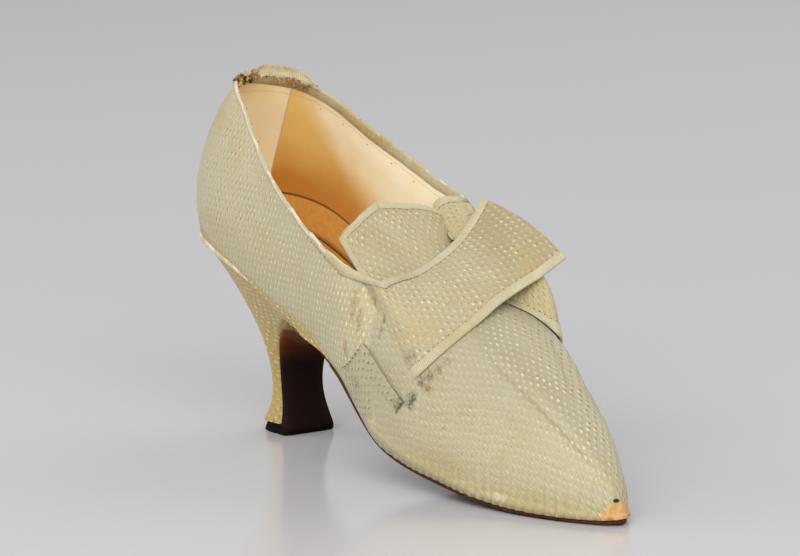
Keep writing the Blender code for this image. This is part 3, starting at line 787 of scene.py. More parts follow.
def relief(points):
    """How far the silk stands from the last, in metres, and how much painted shade darkens its creases."""
    points = np.asarray(points)
    height = np.zeros(len(points))
    crease = np.zeros(len(points))
    for depth, breadth, crease_shade, path in VAMP_FOLDS:
        line = np.array([vamp(row, share) for row, share in path])
        fine = np.array([through(line, step / 16.0) for step in range(16 * (len(line) - 1) + 1)])
        away = np.full(len(points), 1.0)
        ends = np.ones(len(points))
        for index, spot in enumerate(fine):
            apart = np.linalg.norm(points - spot, axis=1)
            nearer = apart < away
            away = np.where(nearer, apart, away)
            taper = math.sin(math.pi * min(max(index / (len(fine) - 1), 0.03), 0.97)) ** 0.6
            ends = np.where(nearer, taper, ends)
        shape = np.exp(-((away / (breadth * MM)) ** (1.3 if depth > 0.0 else 2.0)))
        height -= depth * MM * ends * shape
        # Painted shade along each crease line.
        crease = np.maximum(crease, crease_shade * ends * np.exp(-(away / 0.0007) ** 2))
    full = np.linalg.norm(points - vamp(*VAMP_FULL), axis=1)
    height += FULL_RISE * np.exp(-((full / FULL_REACH) ** 2))
    for index, point in enumerate(points):
        slack = noise.noise(Vector(point * 62.0))
        height[index] += COARSE_SLACK * slack + FINE_SLACK * noise.noise(Vector(point * 240.0))
        low = min(max((18.0 - point[2] / MM) / 14.0, 0.0), 1.0)
        if point[0] > 0.02:
            height[index] += PLEAT_DEPTH * low * math.sin(point[0] * 1750.0 + 4.0 * slack)
    return height, crease


def turned_under(points):
    """The grid with its lowest row drawn down and out over the edge of the sole."""
    points = points.copy()
    columns = (0, -1) if len(points[0]) > SIDE_GRID + 2 else (0,)
    for column in columns:
        beside = 1 if column == 0 else -2
        down = points[:, column] - points[:, beside]
        down /= np.linalg.norm(down, axis=1)[:, None]
        out = np.array([unit(outward(point) * np.array((1.0, 1.0, 0.0))) for point in points[:, column]])
        points[:, column] += down * 1.3 * MM + out * 0.75 * MM
        points[:, beside] += out * 0.35 * MM
    return points


def ridge_lit(x, y, z):
    """Dots lit along the vamp's ridge."""
    wide = y - (105.0 - x) * 0.02
    return wide.fade(-14.0, -2.0, 0.32, 0.75) * wide.fade(2.0, 13.0, 1.0, 0.15)


def far_gap_shade(x, y, z):
    """Painted shade: gaps darker on the far side of the vamp."""
    return (y - (105.0 - x) * 0.16).fade(-4.0, 8.0, 0.34, 1.8)


def front_lit(x, y, z):
    """Dots lit toward the front of the quarters."""
    return x.fade(-90.0, -30.0, 0.3, 0.95)


def back_gap_shade(x, y, z):
    """Painted shade: gaps darker toward the back of the quarters."""
    return x.fade(-80.0, -20.0, 0.75, 0.25)


class SHOE_OT_upper(bpy.types.Operator):
    """Builds the silk of the vamp and quarters."""

    bl_idname = "shoe.upper"
    bl_label = "Upper silk"

    def execute(self, context):
        front, front_weave, back, back_weave = upper_grids()
        work = bmesh.new()
        shade = work.verts.layers.float.new("crease")
        lay_grid(work, turned_under(front), front_weave, outward, 0)
        low = turned_under(back)
        back_weave[:, 0, 1] = low[:, 0, 2]
        lay_grid(work, low, back_weave, outward, 1)
        bmesh.ops.remove_doubles(work, verts=work.verts, dist=0.00005)
        work.normal_update()
        verts = list(work.verts)
        lift, crease = relief([np.array(vert.co) for vert in verts])
        for vert, height, dark in zip(verts, lift, crease):
            vert.co = vert.co + vert.normal * float(height)
            vert[shade] = float(dark)
        coats = (
            figured_silk("vamp_silk", ridge_lit, far_gap_shade, UPPER_STAINS, paint=vamp_wear_and_shade, worn=bared_toe),
            figured_silk("quarter_silk", front_lit, back_gap_shade, UPPER_STAINS, paint=seat_wear),
        )
        finished("upper_silk", work, coats, ("upper",), wall=0.4 * MM)
        return {"FINISHED"}


def lining_depth(height):
    """How far the lining lies inside the silk, in metres: thin at the collar, more lower down."""
    return (0.55 + 0.95 * min((1.0 - height) / 0.22, 1.0)) * MM


class SHOE_OT_lining(bpy.types.Operator):
    """Builds the lining inside the upper."""

    bl_idname = "shoe.lining"
    bl_label = "Lining"

    def execute(self, context):
        front, front_weave, back, _ = upper_grids()
        start = ROW_GRID // 2
        place = sheet(len(back) - 1, SIDE_GRID, lambda around, up: (around * QUARTER_STEPS, up))
        work = bmesh.new()
        lay_grid(work, front[start:], np.zeros_like(front_weave[start:]), outward)
        where = lay_grid(work, back, place, outward)
        depth = {vert: lining_depth(column / SIDE_GRID) for vert, (_, column) in where.items()}
        work.normal_update()
        for vert in work.verts:
            vert.co = vert.co - vert.normal * depth.get(vert, 1.5 * MM)
        bmesh.ops.remove_doubles(work, verts=work.verts, dist=0.0006)
        bmesh.ops.reverse_faces(work, faces=work.faces)
        finished("lining", work, (lining_finish(),), wall=0.2 * MM)
        return {"FINISHED"}


def lining_finish():
    """Linen, cream where it is lit, with painted shade in golden brown lower down past the seam and deep
    orange-brown low in the shoe, a seam and the insole's turned edge.
    Its places are steps round the quarters and shares of their height."""
    colours = bpy.context.scene.shoe_colours
    finish = Finish("lining_linen", 0.75)
    body = finish.body
    step, height, _ = finish.add("ShaderNodeUVMap", {}, uv_map="weave").parts()
    cloudy = body.noise(0.06, 4.0)
    uneven = cloudy - 0.5
    tint = finish.mix(cloudy.fade(0.35, 0.75), colours.lining, linear(255, 236, 190))
    past_seam = step - (height * 0.66 + 9.986)
    # Painted shade: golden brown below a line that falls toward the front, past the seam.
    below = step.fade(10.2, 13.1, 1.14, 0.62) - height + uneven * 0.25
    painted_shade = below.fade(-0.06, 0.26) * past_seam.fade(-0.03, 0.05, 0.05, 0.95)
    tint = finish.mix(painted_shade, tint, colours.lining_shade)
    # Painted shade: deep orange-brown low in the shoe.
    low = (height + uneven * 0.2).fade(0.66, 0.28)
    deep = low * step.fade(14.2, 12.6) * past_seam.fade(-0.03, 0.04) * 0.9
    tint = finish.mix(deep, tint, colours.lining_deep_shade)
    past_throat = step.fade(0.2, 0.4)
    leather = finish.mix(body.noise(0.5, 4.0).fade(0.3, 0.7), colours.insole, linear(216, 152, 66))
    tint = finish.mix(height.fade(0.232, 0.218) * past_throat, tint, leather)
    # The dark join line is partly the insole's edge and partly painted shade where it meets the lining.
    join = abs(height - 0.228).fade(0.011, 0.003) * past_throat * step.fade(5.0, 8.0, 0.4, 1.0)
    tint = finish.mix(join * 0.85, tint, linear(70, 34, 12))
    seam = abs(past_seam).fade(0.034, 0.012) * height.fade(0.23, 0.3)
    tint = finish.mix(seam * 0.38, tint, linear(138, 96, 44))
    line = abs(height - 0.89).fade(0.007, 0.002)
    tint = finish.mix(line * 0.22, tint, linear(176, 132, 76))
    thread = body.turned((2.2, 2.2, 0.7)).noise(1.0)
    woven = finish.mix(thread, linear(120, 80, 40), linear(255, 240, 215))
    finish.set("Base Color", finish.mix(0.12, tint, woven, "SOFT_LIGHT"))
    finish.set("Sheen Weight", 0.45)
    finish.set("Sheen Tint", linear(255, 226, 178))
    finish.bump(thread * 0.5 - (seam + join + line * 0.4), 0.3, 0.0004)
    return finish.material


STITCH = 0.38 * MM


def stitch_run(work, spots, size=STITCH):
    """Small stitches laid along a run of places, each with its direction and normal."""
    for point, along, normal in spots:
        along = Vector(unit(along))
        normal = Vector(unit(normal))
        side = normal.cross(along).normalized()
        normal = along.cross(side)
        turn = Matrix((along, side, normal)).transposed().to_4x4()
        grow = Matrix.Diagonal((size, size * 0.42, size * 0.3, 1.0))
        place = Matrix.Translation(Vector(point)) @ turn @ grow
        bmesh.ops.create_icosphere(work, subdivisions=1, radius=1.0, matrix=place)


class Binding:
    """Ribbon in the making, laid row by row along an edge, with the stitches that hold it."""

    def __init__(self):
        self.ribbon = bmesh.new()
        self.sewing = bmesh.new()
        self.begin()

    def begin(self):
        self.rows = []
        self.cloth = []
        self.stitches = []
        self.run = 0.0
        self.since = 0.0

    def row(self, line, marks, measured_at=2):
        """Adds a row, with places across the ribbon; its run is measured at one of the row's points."""
        if self.rows:
            step = np.linalg.norm(line[measured_at] - self.rows[-1][measured_at])
            self.run += step
            self.since += step
        self.rows.append(line)
        self.cloth.append([(self.run, mark) for mark in marks])

    def lay(self, size=STITCH):
        """Lays the rows and stitches of one edge, and begins another."""
        lay_grid(self.ribbon, np.array(self.rows), self.cloth)
        stitch_run(self.sewing, self.stitches, size)
        self.begin()

    def finished(self, name, slot, ribbon, thread, wall=0.16 * MM):
        bmesh.ops.recalc_face_normals(self.ribbon, faces=self.ribbon.faces)
        finished(name + "_ribbon", self.ribbon, (ribbon,), wall=wall, offset=0.0)
        finished(name + "_stitches", self.sewing, (thread,))


class Strap:
    """A strap's sheet: along runs from its root to its end, across from its first edge to its second."""

    columns = 16

    def __init__(self, table, root, side, curl):
        shares = [column / self.columns for column in range(self.columns + 1)]
        first, last = np.array(root)
        seated = []
        for share in shares:
            back, height = first + (last - first) * share
            seated.append(flank(back, min(height, 1.0), side))
        rows = [seated]
        for back_x, back_y, back_z, front_x, front_y, front_z, crown in table:
            back = graded(back_x, back_y, back_z, GRADE_INSTEP)
            front = graded(front_x, front_y, front_z, GRADE_INSTEP)
            row = []
            for share in shares:
                even = 4.0 * share * (1.0 - share)
                forward = 6.75 * share * share * (1.0 - share)
                rise = crown * MM * (even + (forward - even) * curl)
                row.append(back + (front - back) * share + np.array((0.5, 0.0, 0.87)) * rise)
            rows.append(row)
        self.controls = np.array(rows)

    def place(self, along, across):
        row = through(self.controls, along * (len(self.controls) - 1))
        spot = min(max(across, 0.0), 1.0) * self.columns
        point = through(row, spot)
        if across < 0.0:
            point = row[0] + (row[0] - row[1]) * (-across * self.columns)
        if across > 1.0:
            point = row[-1] + (row[-1] - row[-2]) * ((across - 1.0) * self.columns)
        return point

    def normal(self, along, across):
        small = 0.01
        ahead = self.place(min(along + small, 1.0), across) - self.place(max(along - small, 0.0), across)
        over = self.place(along, min(across + small, 1.0)) - self.place(along, max(across - small, 0.0))
        normal = unit(np.cross(ahead, over))
        return normal if normal[2] > 0.0 else -normal

    def breadth(self, along):
        row = through(self.controls, along * (len(self.controls) - 1))
        return np.linalg.norm(np.diff(row, axis=0), axis=1).sum()


# A strap lies this far above its controls, or sunk at its root, and waves with its slack.
STRAP_LIFT = 0.5 * MM
STRAP_SUNK = 0.6 * MM
STRAP_SLACK = 0.22 * MM
# How near the upper a strap is kept clear of it, and how near it hugs it.
CLEAR_REACH = 6.0 * MM
HUG_REACH = 14.0 * MM
STRAP_ROWS = 70
STRAP_COLUMNS = 28
RIBBON_ROWS = 120
# Profile of a folded ribbon: inset from the edge as a share of its breadth, then lift in millimetres.
RIBBON_PROFILE = (
    (1.0, 0.30), (0.97, 0.46), (0.5, 0.52), (0.1, 0.50), (-0.03, 0.36), (-0.06, 0.0),
    (-0.03, -0.36), (0.1, -0.46), (0.5, -0.44), (0.92, -0.36),
)


def clear_of(tree, point, gap, hug):
    """The point, moved out to the gap above the upper, and drawn down to it as far as it hugs it."""
    found, normal, _, apart = tree.find_nearest(Vector(point))
    seated = np.array(found + normal * gap)
    if (Vector(point) - found).dot(normal) < gap and apart < CLEAR_REACH:
        return seated
    if apart < HUG_REACH:
        return point + (seated - point) * hug
    return point


def surface_tree(*pieces):
    """The surfaces of some pieces together, for what lies on them."""
    corners = []
    faces = []
    for piece in pieces:
        piece.data.calc_loop_triangles()
        first = len(corners)
        corners += [vert.co.copy() for vert in piece.data.vertices]
        for triangle in piece.data.loop_triangles:
            faces.append(tuple(first + index for index in triangle.vertices))
    return BVHTree.FromPolygons(corners, faces)


def corner_rows(settled, sizes, breadth):
    """Rows of ribbon that run on from the near collar to the latchet's top edge."""
    keys = []
    for place in (2.0, 1.7, 1.4, 1.15):
        edge, down, out = collar_edge(place)
        tall = sizes.ribbon * np.interp(place, (1.15, 1.9), (0.95, 0.75))
        keys.append([edge + down * inset * tall + out * (lift + 0.1) * MM for inset, lift in RIBBON_PROFILE])
    for along in (0.13, 0.18, 0.23, 0.28, 0.33, 0.38):
        over = 1.6 * MM * (1.0 - rising(along, 0.22, 0.36))
        keys.append([
            settled(along, (inset * sizes.ribbon - over) / breadth, (lift + 0.14) * MM)
            for inset, lift in RIBBON_PROFILE
        ])
    keys = np.array(keys)
    return np.array([through(keys, 0.5 + step / 12.0) for step in range(12 * (len(keys) - 2) + 7)])


def build_strap(name, strap, coat, ribbon, thread, edges, hug, corner=False):
    """A strap with its ribbon bindings and the stitches that hold them."""
    sizes = bpy.context.scene.shoe_sizes
    tree = surface_tree(bpy.data.objects["upper_silk"])

    def settled(along, across, lift=0.0):
        """A place on the strap, lifted from its middle and kept on or above the upper."""
        inside = min(max(across, 0.0), 1.0)
        normal = strap.normal(along, inside)
        root = rising(along, 0.0, 0.1)
        middle = strap.place(along, across) + normal * (STRAP_LIFT * root - STRAP_SUNK * (1.0 - root))
        middle = clear_of(tree, middle, STRAP_SUNK * (2.0 * root - 1.0), hug(along, inside))
        slack = noise.noise(Vector(middle * 70.0)) * STRAP_SLACK
        return middle + normal * (lift + slack)

    points = sheet(STRAP_ROWS, STRAP_COLUMNS, settled)
    weave = np.stack((middle_run(points), measured(points, 1)), axis=2)
    work = bmesh.new()
    lay_grid(work, points, weave, lambda point: (0.3, 0.0, 1.0))
    finished(name + "_silk", work, (coat,), (name,), wall=0.6 * MM, offset=0.0)
    binding = Binding()
    marks = [inset * sizes.ribbon for inset, _ in RIBBON_PROFILE]
    chance = random.Random(len(name) * 7 + 3)
    for edge, start, end in edges:
        for step in range(RIBBON_ROWS + 1):
            along = start + (end - start) * step / RIBBON_ROWS
            breadth = strap.breadth(along)
            wander = 1.0 + 0.05 * noise.noise(Vector((along * 9.0, edge * 5.0, 0.0)))
            line = []
            for mark, (_, lift) in zip(marks, RIBBON_PROFILE):
                share = mark * wander / breadth
                line.append(settled(along, share if edge == 0 else 1.0 - share, lift * MM))
            binding.row(line, marks)
            between = 2 < step < RIBBON_ROWS - 1
            if binding.since > sizes.stitch and between and chance.random() > 0.06:
                binding.since = 0.0
                share = (sizes.ribbon * wander + 0.0002) / breadth
                across = share if edge == 0 else 1.0 - share
                spot = settled(along, across, 0.00036)
                ahead = settled(min(along + 0.01, 1.0), across, 0.00036) - spot
                if np.linalg.norm(ahead) > 0.00001:
                    binding.stitches.append((spot, ahead, strap.normal(along, across)))
        binding.lay()
    if corner:
        grid = corner_rows(settled, sizes, strap.breadth(0.15))
        for line in grid:
            binding.row(line, marks)
        for step in range(4, len(grid) - 6, 6):
            out = unit(grid[step, 2] - grid[step, 7])
            ahead = grid[step + 1, 0] - grid[step, 0]
            binding.stitches.append((grid[step, 0] + out * 0.1 * MM, ahead, out))
        binding.lay()
    binding.finished(name, "latchet_silk", ribbon, thread)


def near_hug(along, across):
    """The near latchet lies on the vamp along its lower edge, until it lifts over the far latchet."""
    return 0.7 * rising(across, 0.4, 0.9) * (1.0 - rising(along, 0.35, 0.6))


def far_hug(along, across):
    """The far latchet lies on the vamp along its front edge."""
    return 0.15 * rising(across, 0.8, 1.0) * (1.0 - rising(along, 0.75, 1.0))


# Stains on the latchets' ribbon and on the near latchet's silk, with the columns of the upper's.
RIBBON_STAINS = (
    ((13.0, -24.0, 68.0), (4.5, 4.0, 4.0), "dirt", 0.55),
    # A greener, greyer patch near the corner, in the shaded floats' colour.
    ((16.0, -14.0, 71.0), (14.0, 14.0, 6.0), "shaded", 0.35),
    ((45.0, -10.0, 57.0), (24.0, 14.0, 12.0), "golden", 0.3),
)
NEAR_STAINS = (
    ((35.0, -26.0, 47.0), (5.0, 6.0, 5.0), "dirt", 0.5),
    ((12.5, -24.5, 67.0), (4.4, 4.0, 4.4), "stain", 0.6),
    ((41.0, -24.0, 42.0), (3.0, 4.0, 3.0), "dirt", 0.6),
    ((32.0, -20.0, 56.0), (12.0, 9.0, 8.0), "golden", 0.45),
    ((50.0, -2.0, 60.0), (9.0, 8.0, 5.0), "golden", 0.4),
    ((44.0, 20.0, 78.0), (9.0, 9.0, 9.0), "golden", 0.45),
    ((20.4, -24.5, 58.1), (1.1, 3.0, 3.4), "dirt", 0.85),
    ((14.5, -23.8, 63.3), (1.0, 3.0, 2.6), "dirt", 0.75),
)
# The bound edges of each latchet. Columns: edge, share along it where its ribbon starts and ends.
NEAR_EDGES = ((0, 0.33, 1.0), (1, 0.0, 1.0))
FAR_EDGES = ((0, 0.05, 1.0), (1, 0.0, 1.0))


class SHOE_OT_latchets(bpy.types.Operator):
    """Builds the two latchets with their ribbon bindings."""

    bl_idname = "shoe.latchets"
    bl_label = "Latchets"

    def execute(self, context):
        ribbon = ribbed_ribbon("latchet_ribbon", RIBBON_STAINS)
        thread = thread_finish()
        near_silk = figured_silk(
            "latchet_right_silk", 0.62, 0.7, NEAR_STAINS, turn=0.35, paint=strap_dulled, bold=0.85
        )
        far_silk = figured_silk("latchet_left_silk", 0.15, 0.8, turn=-0.3, golden=0.25)
        near = Strap(NEAR_LATCHET, NEAR_ROOT, -1.0, 0.0)
        far = Strap(FAR_LATCHET, FAR_ROOT, 1.0, 1.0)
        build_strap("latchet_right", near, near_silk, ribbon, thread, NEAR_EDGES, near_hug, corner=True)
        build_strap("latchet_left", far, far_silk, ribbon, thread, FAR_EDGES, far_hug)
        return {"FINISHED"}


def tongue_place(travel, part):
    """Section row and share of a place on the tongue, from its foot to its peaked top."""
    limit = float(np.interp(part, *TONGUE_TOP))
    row = TONGUE_START + (limit - TONGUE_START) * travel
    half = TONGUE_SHARES[0] if part < 0.0 else TONGUE_SHARES[1]
    wide = TONGUE_TOE + (half - TONGUE_TOE) * min(max(travel, 0.0) * 1.6, 1.0)
    return row, part * wide


def tongue_spot(travel, part, lift):
    """A place of the tongue, lifted from its middle: under the vamp at its foot, nearly flat above."""
    row, share = tongue_place(travel, part)
    raised = min(2.75 * (max(part, 0.0) / 0.57) ** 2.2, 6.5) * rising(travel, 0.4, 0.9)
    depth = 2.7 - 1.5 * rising(travel, 0.35, 0.65) - raised
    return vamp(row, share) - vamp_normal(row, share) * (depth * MM - lift)


class SHOE_OT_tongue(bpy.types.Operator):
    """Builds the bound tongue."""

    bl_idname = "shoe.tongue"
    bl_label = "Tongue"

    def execute(self, context):
        points = sheet(48, 60, lambda travel, share: tongue_spot(travel, 2.0 * share - 1.0, 0.0))
        weave = np.stack((measured(points, 1), middle_run(points)), axis=2)
        work = bmesh.new()
        lay_grid(work, points, weave, lambda point: (0.2, 0.0, 1.0))
        coat = figured_silk("tongue_silk_cloth", 0.6, 0.55, paint=strap_dulled, bold=0.85)
        finished("tongue_silk", work, (coat,), ("tongue",), wall=0.6 * MM, offset=0.0)
        self.bind(context.scene.shoe_sizes, points)
        return {"FINISHED"}

    def bind(self, sizes, points):
        """Ribbon along the tongue's sides and top, overlapping at its corners, with its stitches."""
        tall = np.linalg.norm(np.diff(points[:, 0], axis=0), axis=1).sum()
        wide = np.linalg.norm(np.diff(points[-1], axis=0), axis=1).sum()

        def side_spot(side, place, inset, lift):
            return tongue_spot(place, side * (1.0 - inset / (wide * 0.5)), lift)

        def top_spot(side, place, inset, lift):
            return tongue_spot(1.0 - inset / tall, TONGUE_FOLD + (side - TONGUE_FOLD) * place, lift)

        binding = Binding()
        marks = [inset * sizes.ribbon for inset, _ in RIBBON_PROFILE]
        steps = 50
        outside = sizes.ribbon + 0.0002
        # Columns: places of the edge, where its ribbon starts, how much higher than the other it lies.
        for spot, start, over in ((side_spot, 0.35, 1.0), (top_spot, 0.0, 1.06)):
            for side, tilt in ((-1.0, -0.3), (1.0, 0.2)):
                for step in range(steps + 1):
                    place = start + (1.0 - start) * step / steps
                    line = []
                    for mark, (_, lift) in zip(marks, RIBBON_PROFILE):
                        line.append(spot(side, place, mark, lift * over * MM))
                    binding.row(line, marks)
                    if binding.since > sizes.stitch and place < 0.88:
                        binding.since = 0.0
                        here = spot(side, place, outside, 0.36 * MM)
                        ahead = spot(side, place + 0.01, outside, 0.36 * MM) - here
                        binding.stitches.append((here, ahead, np.array((0.25, tilt, 0.9))))
                binding.lay()
        binding.finished("tongue", "tongue_silk", ribbed_ribbon("tongue_ribbed_ribbon"), thread_finish())


# Profile of the collar's binding: share of its fall outside or inside, then out from the wall in
# millimetres. The inner half follows the lining.
COLLAR_OUTSIDE = ((1.0, 0.05), (0.95, 0.2), (0.5, 0.26), (0.12, 0.24))
COLLAR_TOP = ((-0.22, 0.06), (-0.30, -0.3), (-0.22, -0.68))
COLLAR_INSIDE = ((0.12, 0.30), (0.5, 0.34), (0.95, 0.26), (1.0, 0.1))
# How the collar's binding changes from the near throat to the far one, in millimetres: first the
# steps round the quarters, then its fall outside, its fall inside and how much its fold waves.
COLLAR_FALL_OUTSIDE = ((0.4, 1.8, 3.0, 5.0, 13.0, 17.5), (3.2, 2.6, 1.4, 1.1, 1.6, 3.0))
COLLAR_FALL_INSIDE = ((0.4, 8.0, 10.0, 13.0, 17.5), (2.0, 2.6, 4.4, 4.2, 2.6))
COLLAR_WAVES = ((0.9, 2.5, 7.0, 10.5, 17.0), (0.3, 1.3, 1.2, 1.1, 0.8))
# Stains on the collar's ribbon and on its lifted end, with the columns of the upper's.
COLLAR_STAINS_AND_SHADE = (
    # The first three patches are partly the torn edge's stain and partly painted shadow under the lifted
    # ribbon.
    ((-94.0, 10.0, 127.5), (14.0, 16.0, 4.5), "stain", 1.0),
    ((-88.0, 14.0, 125.5), (9.0, 9.0, 3.0), "dirt", 0.7),
    ((-102.0, -6.0, 130.0), (5.0, 5.0, 4.0), "dirt", 0.9),
    ((-60.0, 24.0, 110.0), (46.0, 12.0, 24.0), "golden", 0.9),
)
LIFTED_STAINS = (
    ((-102.0, 0.0, 134.0), (9.0, 9.0, 6.0), "stain", 0.9),
    ((-94.0, 12.0, 133.0), (14.0, 14.0, 2.0), "stain", 0.6),
)
# Where the collar's stitches show outside and inside, as steps round the quarters.
COLLAR_SEWN_NEAR = (1.9, 2.6)
COLLAR_SEWN_FAR = 14.0
COLLAR_SEWN_INSIDE = (11.6, 12.3, 13.0, 13.7, 14.4)
SEWN_HEIGHT = 0.87
# Broken threads of the collar. Columns: first step round the quarters, steps, size, count.
FRAYS = ((7.7, 1.6, 0.9, 190), (9.2, 2.4, 0.6, 50), (1.6, 5.0, 0.35, 12))
# Matted lumps of thread, as steps round the quarters.
FRAY_LUMPS = (7.85, 8.0, 8.2, 8.4, 8.6, 8.8)


def wave_at(x, y=0.0, z=0.0):
    return noise.noise(Vector((x, y, z)))


def collar_edge(place):
    """The collar at a step round the quarters, and the ways down its wall and out from it."""
    edge = quarter(place, 1.0)
    return edge, unit(quarter(place, 0.94) - edge), quarter_normal(place, 0.985)


def collar_ragged(place):
    """How far the collar's ribbon wanders down or up, in millimetres."""
    return wave_at(place * 2.3, 0.0, 4.0) * 0.55 + wave_at(place * 7.1, 3.0, 1.0) * 0.35


def collar_row(place):
    """A row of the collar's ribbon, from its outer edge over its fold to its inner one, and its marks."""
    edge, down, out = collar_edge(place)
    ragged = collar_ragged(place)
    outside = np.interp(place, *COLLAR_FALL_OUTSIDE)
    inside = np.interp(place, *COLLAR_FALL_INSIDE)
    wavy = np.interp(place, *COLLAR_WAVES)
    line = []
    marks = []
    for share, lift in COLLAR_OUTSIDE:
        line.append(edge + down * (share * outside + ragged * 0.4) * MM + out * lift * MM)
        marks.append(share * outside * MM)
    for rise, lift in COLLAR_TOP:
        line.append(edge + down * (rise + ragged * wavy) * MM + out * lift * MM)
        marks.append(rise * MM)
    tall = np.linalg.norm(quarter(place, 0.8) - edge) / 0.2
    for share, lift in COLLAR_INSIDE:
        fall = share * inside + ragged * 0.3
        depth = lining_depth(1.0 - fall * MM / tall)
        line.append(edge + down * fall * MM - out * (depth + lift * MM))
        marks.append(-share * inside * MM)
    return line, marks


def outer_stitch(place, end):
    """A stitch under the outer edge of the collar's ribbon."""
    edge, down, out = collar_edge(place)
    fall = np.interp(place, *COLLAR_FALL_OUTSIDE) + 0.35 + collar_ragged(place) * 0.4
    ahead = quarter(min(place + 0.02, end), 0.98) - quarter(place, 0.98)
    return edge + down * fall * MM + out * 0.12 * MM, ahead, out


def inner_stitch(place):
    """A stitch on the lining under the collar's ribbon."""
    foot = quarter(place, SEWN_HEIGHT)
    inward = -quarter_normal(place, SEWN_HEIGHT)
    ahead = quarter(place + 0.02, SEWN_HEIGHT) - foot
    return foot + inward * (lining_depth(SEWN_HEIGHT) + 0.2 * MM), ahead, inward


class SHOE_OT_collar(bpy.types.Operator):
    """Binds the collar with ribbon and stitches, frayed at the back."""

    bl_idname = "shoe.collar"
    bl_label = "Collar binding"

    def execute(self, context):
        pitch = context.scene.shoe_sizes.stitch * 1.15
        binding = Binding()
        steps = 320
        start = 0.9
        end = QUARTER_STEPS - 0.2
        near_start, near_end = COLLAR_SEWN_NEAR
        for step in range(steps + 1):
            place = start + (end - start) * step / steps
            line, marks = collar_row(place)
            binding.row(line, marks, 3)
            if binding.since > pitch:
                binding.since = 0.0
                if near_start < place < near_end or place > COLLAR_SEWN_FAR:
                    binding.stitches.append(outer_stitch(place, end))
        binding.stitches += [inner_stitch(place) for place in COLLAR_SEWN_INSIDE]
        binding.lay(0.4 * MM)
        coat = ribbed_ribbon("collar_ribbed_ribbon", COLLAR_STAINS_AND_SHADE, rubbed=0.6)
        binding.finished("collar", "upper_silk", coat, thread_finish(), wall=0.14 * MM)
        self.lifted_ribbon()
        self.frays()
        return {"FINISHED"}

    def lifted_ribbon(self):
        """The end of the binding that has come away and stands up at the back."""
        rows = 80
        columns = 8

        def spot(part, share):
            edge, _, out = collar_edge(8.95 + 2.5 * part)
            swell = math.sin(math.pi * min(max(part, 0.02), 0.98)) ** 0.6
            torn = wave_at(part * 9.0, 1.0) * 0.7 + wave_at(part * 31.0, 4.0) * 0.35
            lift = 0.5 + 2.9 * swell + torn
            lean = 0.1 + 1.3 * swell + 0.8 * wave_at(part * 6.0, 2.0)
            bow = math.sin(share * math.pi) * (0.5 + 0.6 * wave_at(part * 8.0, 7.0))
            rise = np.array((0.0, 0.0, lift * share - 0.9 * (1.0 - share)))
            return edge + (rise + out * (-0.35 + lean * share + bow)) * MM

        work = bmesh.new()
        cloth = sheet(rows, columns, lambda part, share: (part * 0.03, share * 0.004))
        lay_grid(work, sheet(rows, columns, spot), cloth, outward)
        coat = ribbed_ribbon("loose_ribbon", LIFTED_STAINS)
        finished("lifted_ribbon", work, (coat,), wall=0.3 * MM, offset=0.0)

    def frays(self):
        """Broken threads along the back of the collar."""
        chance = random.Random(11)
        curve = bpy.data.curves.new("frays", "CURVE")
        curve.dimensions = "3D"
        curve.bevel_depth = 0.16 * MM
        curve.bevel_resolution = 1
        spots = []
        for first, steps, size, count in FRAYS:
            spots += [(first + steps * chance.random(), size) for _ in range(count)]
        for place, size in spots:
            edge, _, out = collar_edge(place)
            along = unit(quarter(place + 0.02, 1.0) - quarter(place - 0.02, 1.0))
            lean = along * chance.uniform(-1.4, 1.4) - out * chance.uniform(-0.5, 1.6)
            lean += np.array((0.0, 0.0, chance.uniform(0.1, 1.0)))
            bend = along * chance.uniform(-1.0, 1.0) + out * chance.uniform(-0.6, 0.6)
            reach = chance.uniform(0.8, 2.6) * size * MM
            start = edge - out * chance.uniform(0.1, 1.6) * MM
            spline = curve.splines.new("POLY")
            spline.points.add(4)
            for index, point in enumerate(spline.points):
                part = index / 4.0
                spot = start + unit(lean) * reach * part + bend * reach * 0.5 * part * part
                point.co = (*spot, 1.0)
                point.radius = 1.0 - 0.6 * part
        maker = bpy.data.objects.new("frays_path", curve)
        bpy.context.scene.collection.objects.link(maker)
        ready = maker.evaluated_get(bpy.context.evaluated_depsgraph_get())
        work = bmesh.new()
        work.from_mesh(bpy.data.meshes.new_from_object(ready))
        bpy.data.objects.remove(maker)
        for place in FRAY_LUMPS:
            spot = Vector(quarter(place, 1.0) - quarter_normal(place, 0.985) * 1.1 * MM)
            grow = Matrix.Translation(spot) @ Matrix.Diagonal((1.8, 1.8, 1.6, 1.0))
            lump = bmesh.ops.create_icosphere(work, subdivisions=3, radius=MM, matrix=grow)["verts"]
            for vert in lump:
                uneven = noise.noise(vert.co * 900.0) + 0.7 * noise.noise(vert.co * 2600.0)
                vert.co = vert.co + (vert.co - spot) * 0.9 * uneven
        coat = mottled_finish("frayed_thread", 0.4, 0.62, linear(70, 44, 16), linear(206, 172, 104))
        finished("frays", work, (coat,))


# The wing's edge on the side of the shoe. Columns: steps back of the throat, height share.
WING_TAIL = np.array((1.18, 0.25))
WING_PEAK = np.array((0.23, 0.50))
WING_TIP = np.array((-1.08, 0.37))
WING_FOOT = (np.array((1.18, 0.012)), np.array((-0.35, 0.012)))
# Share of the wing's length from its tail to its peak.
WING_RISE = 0.35


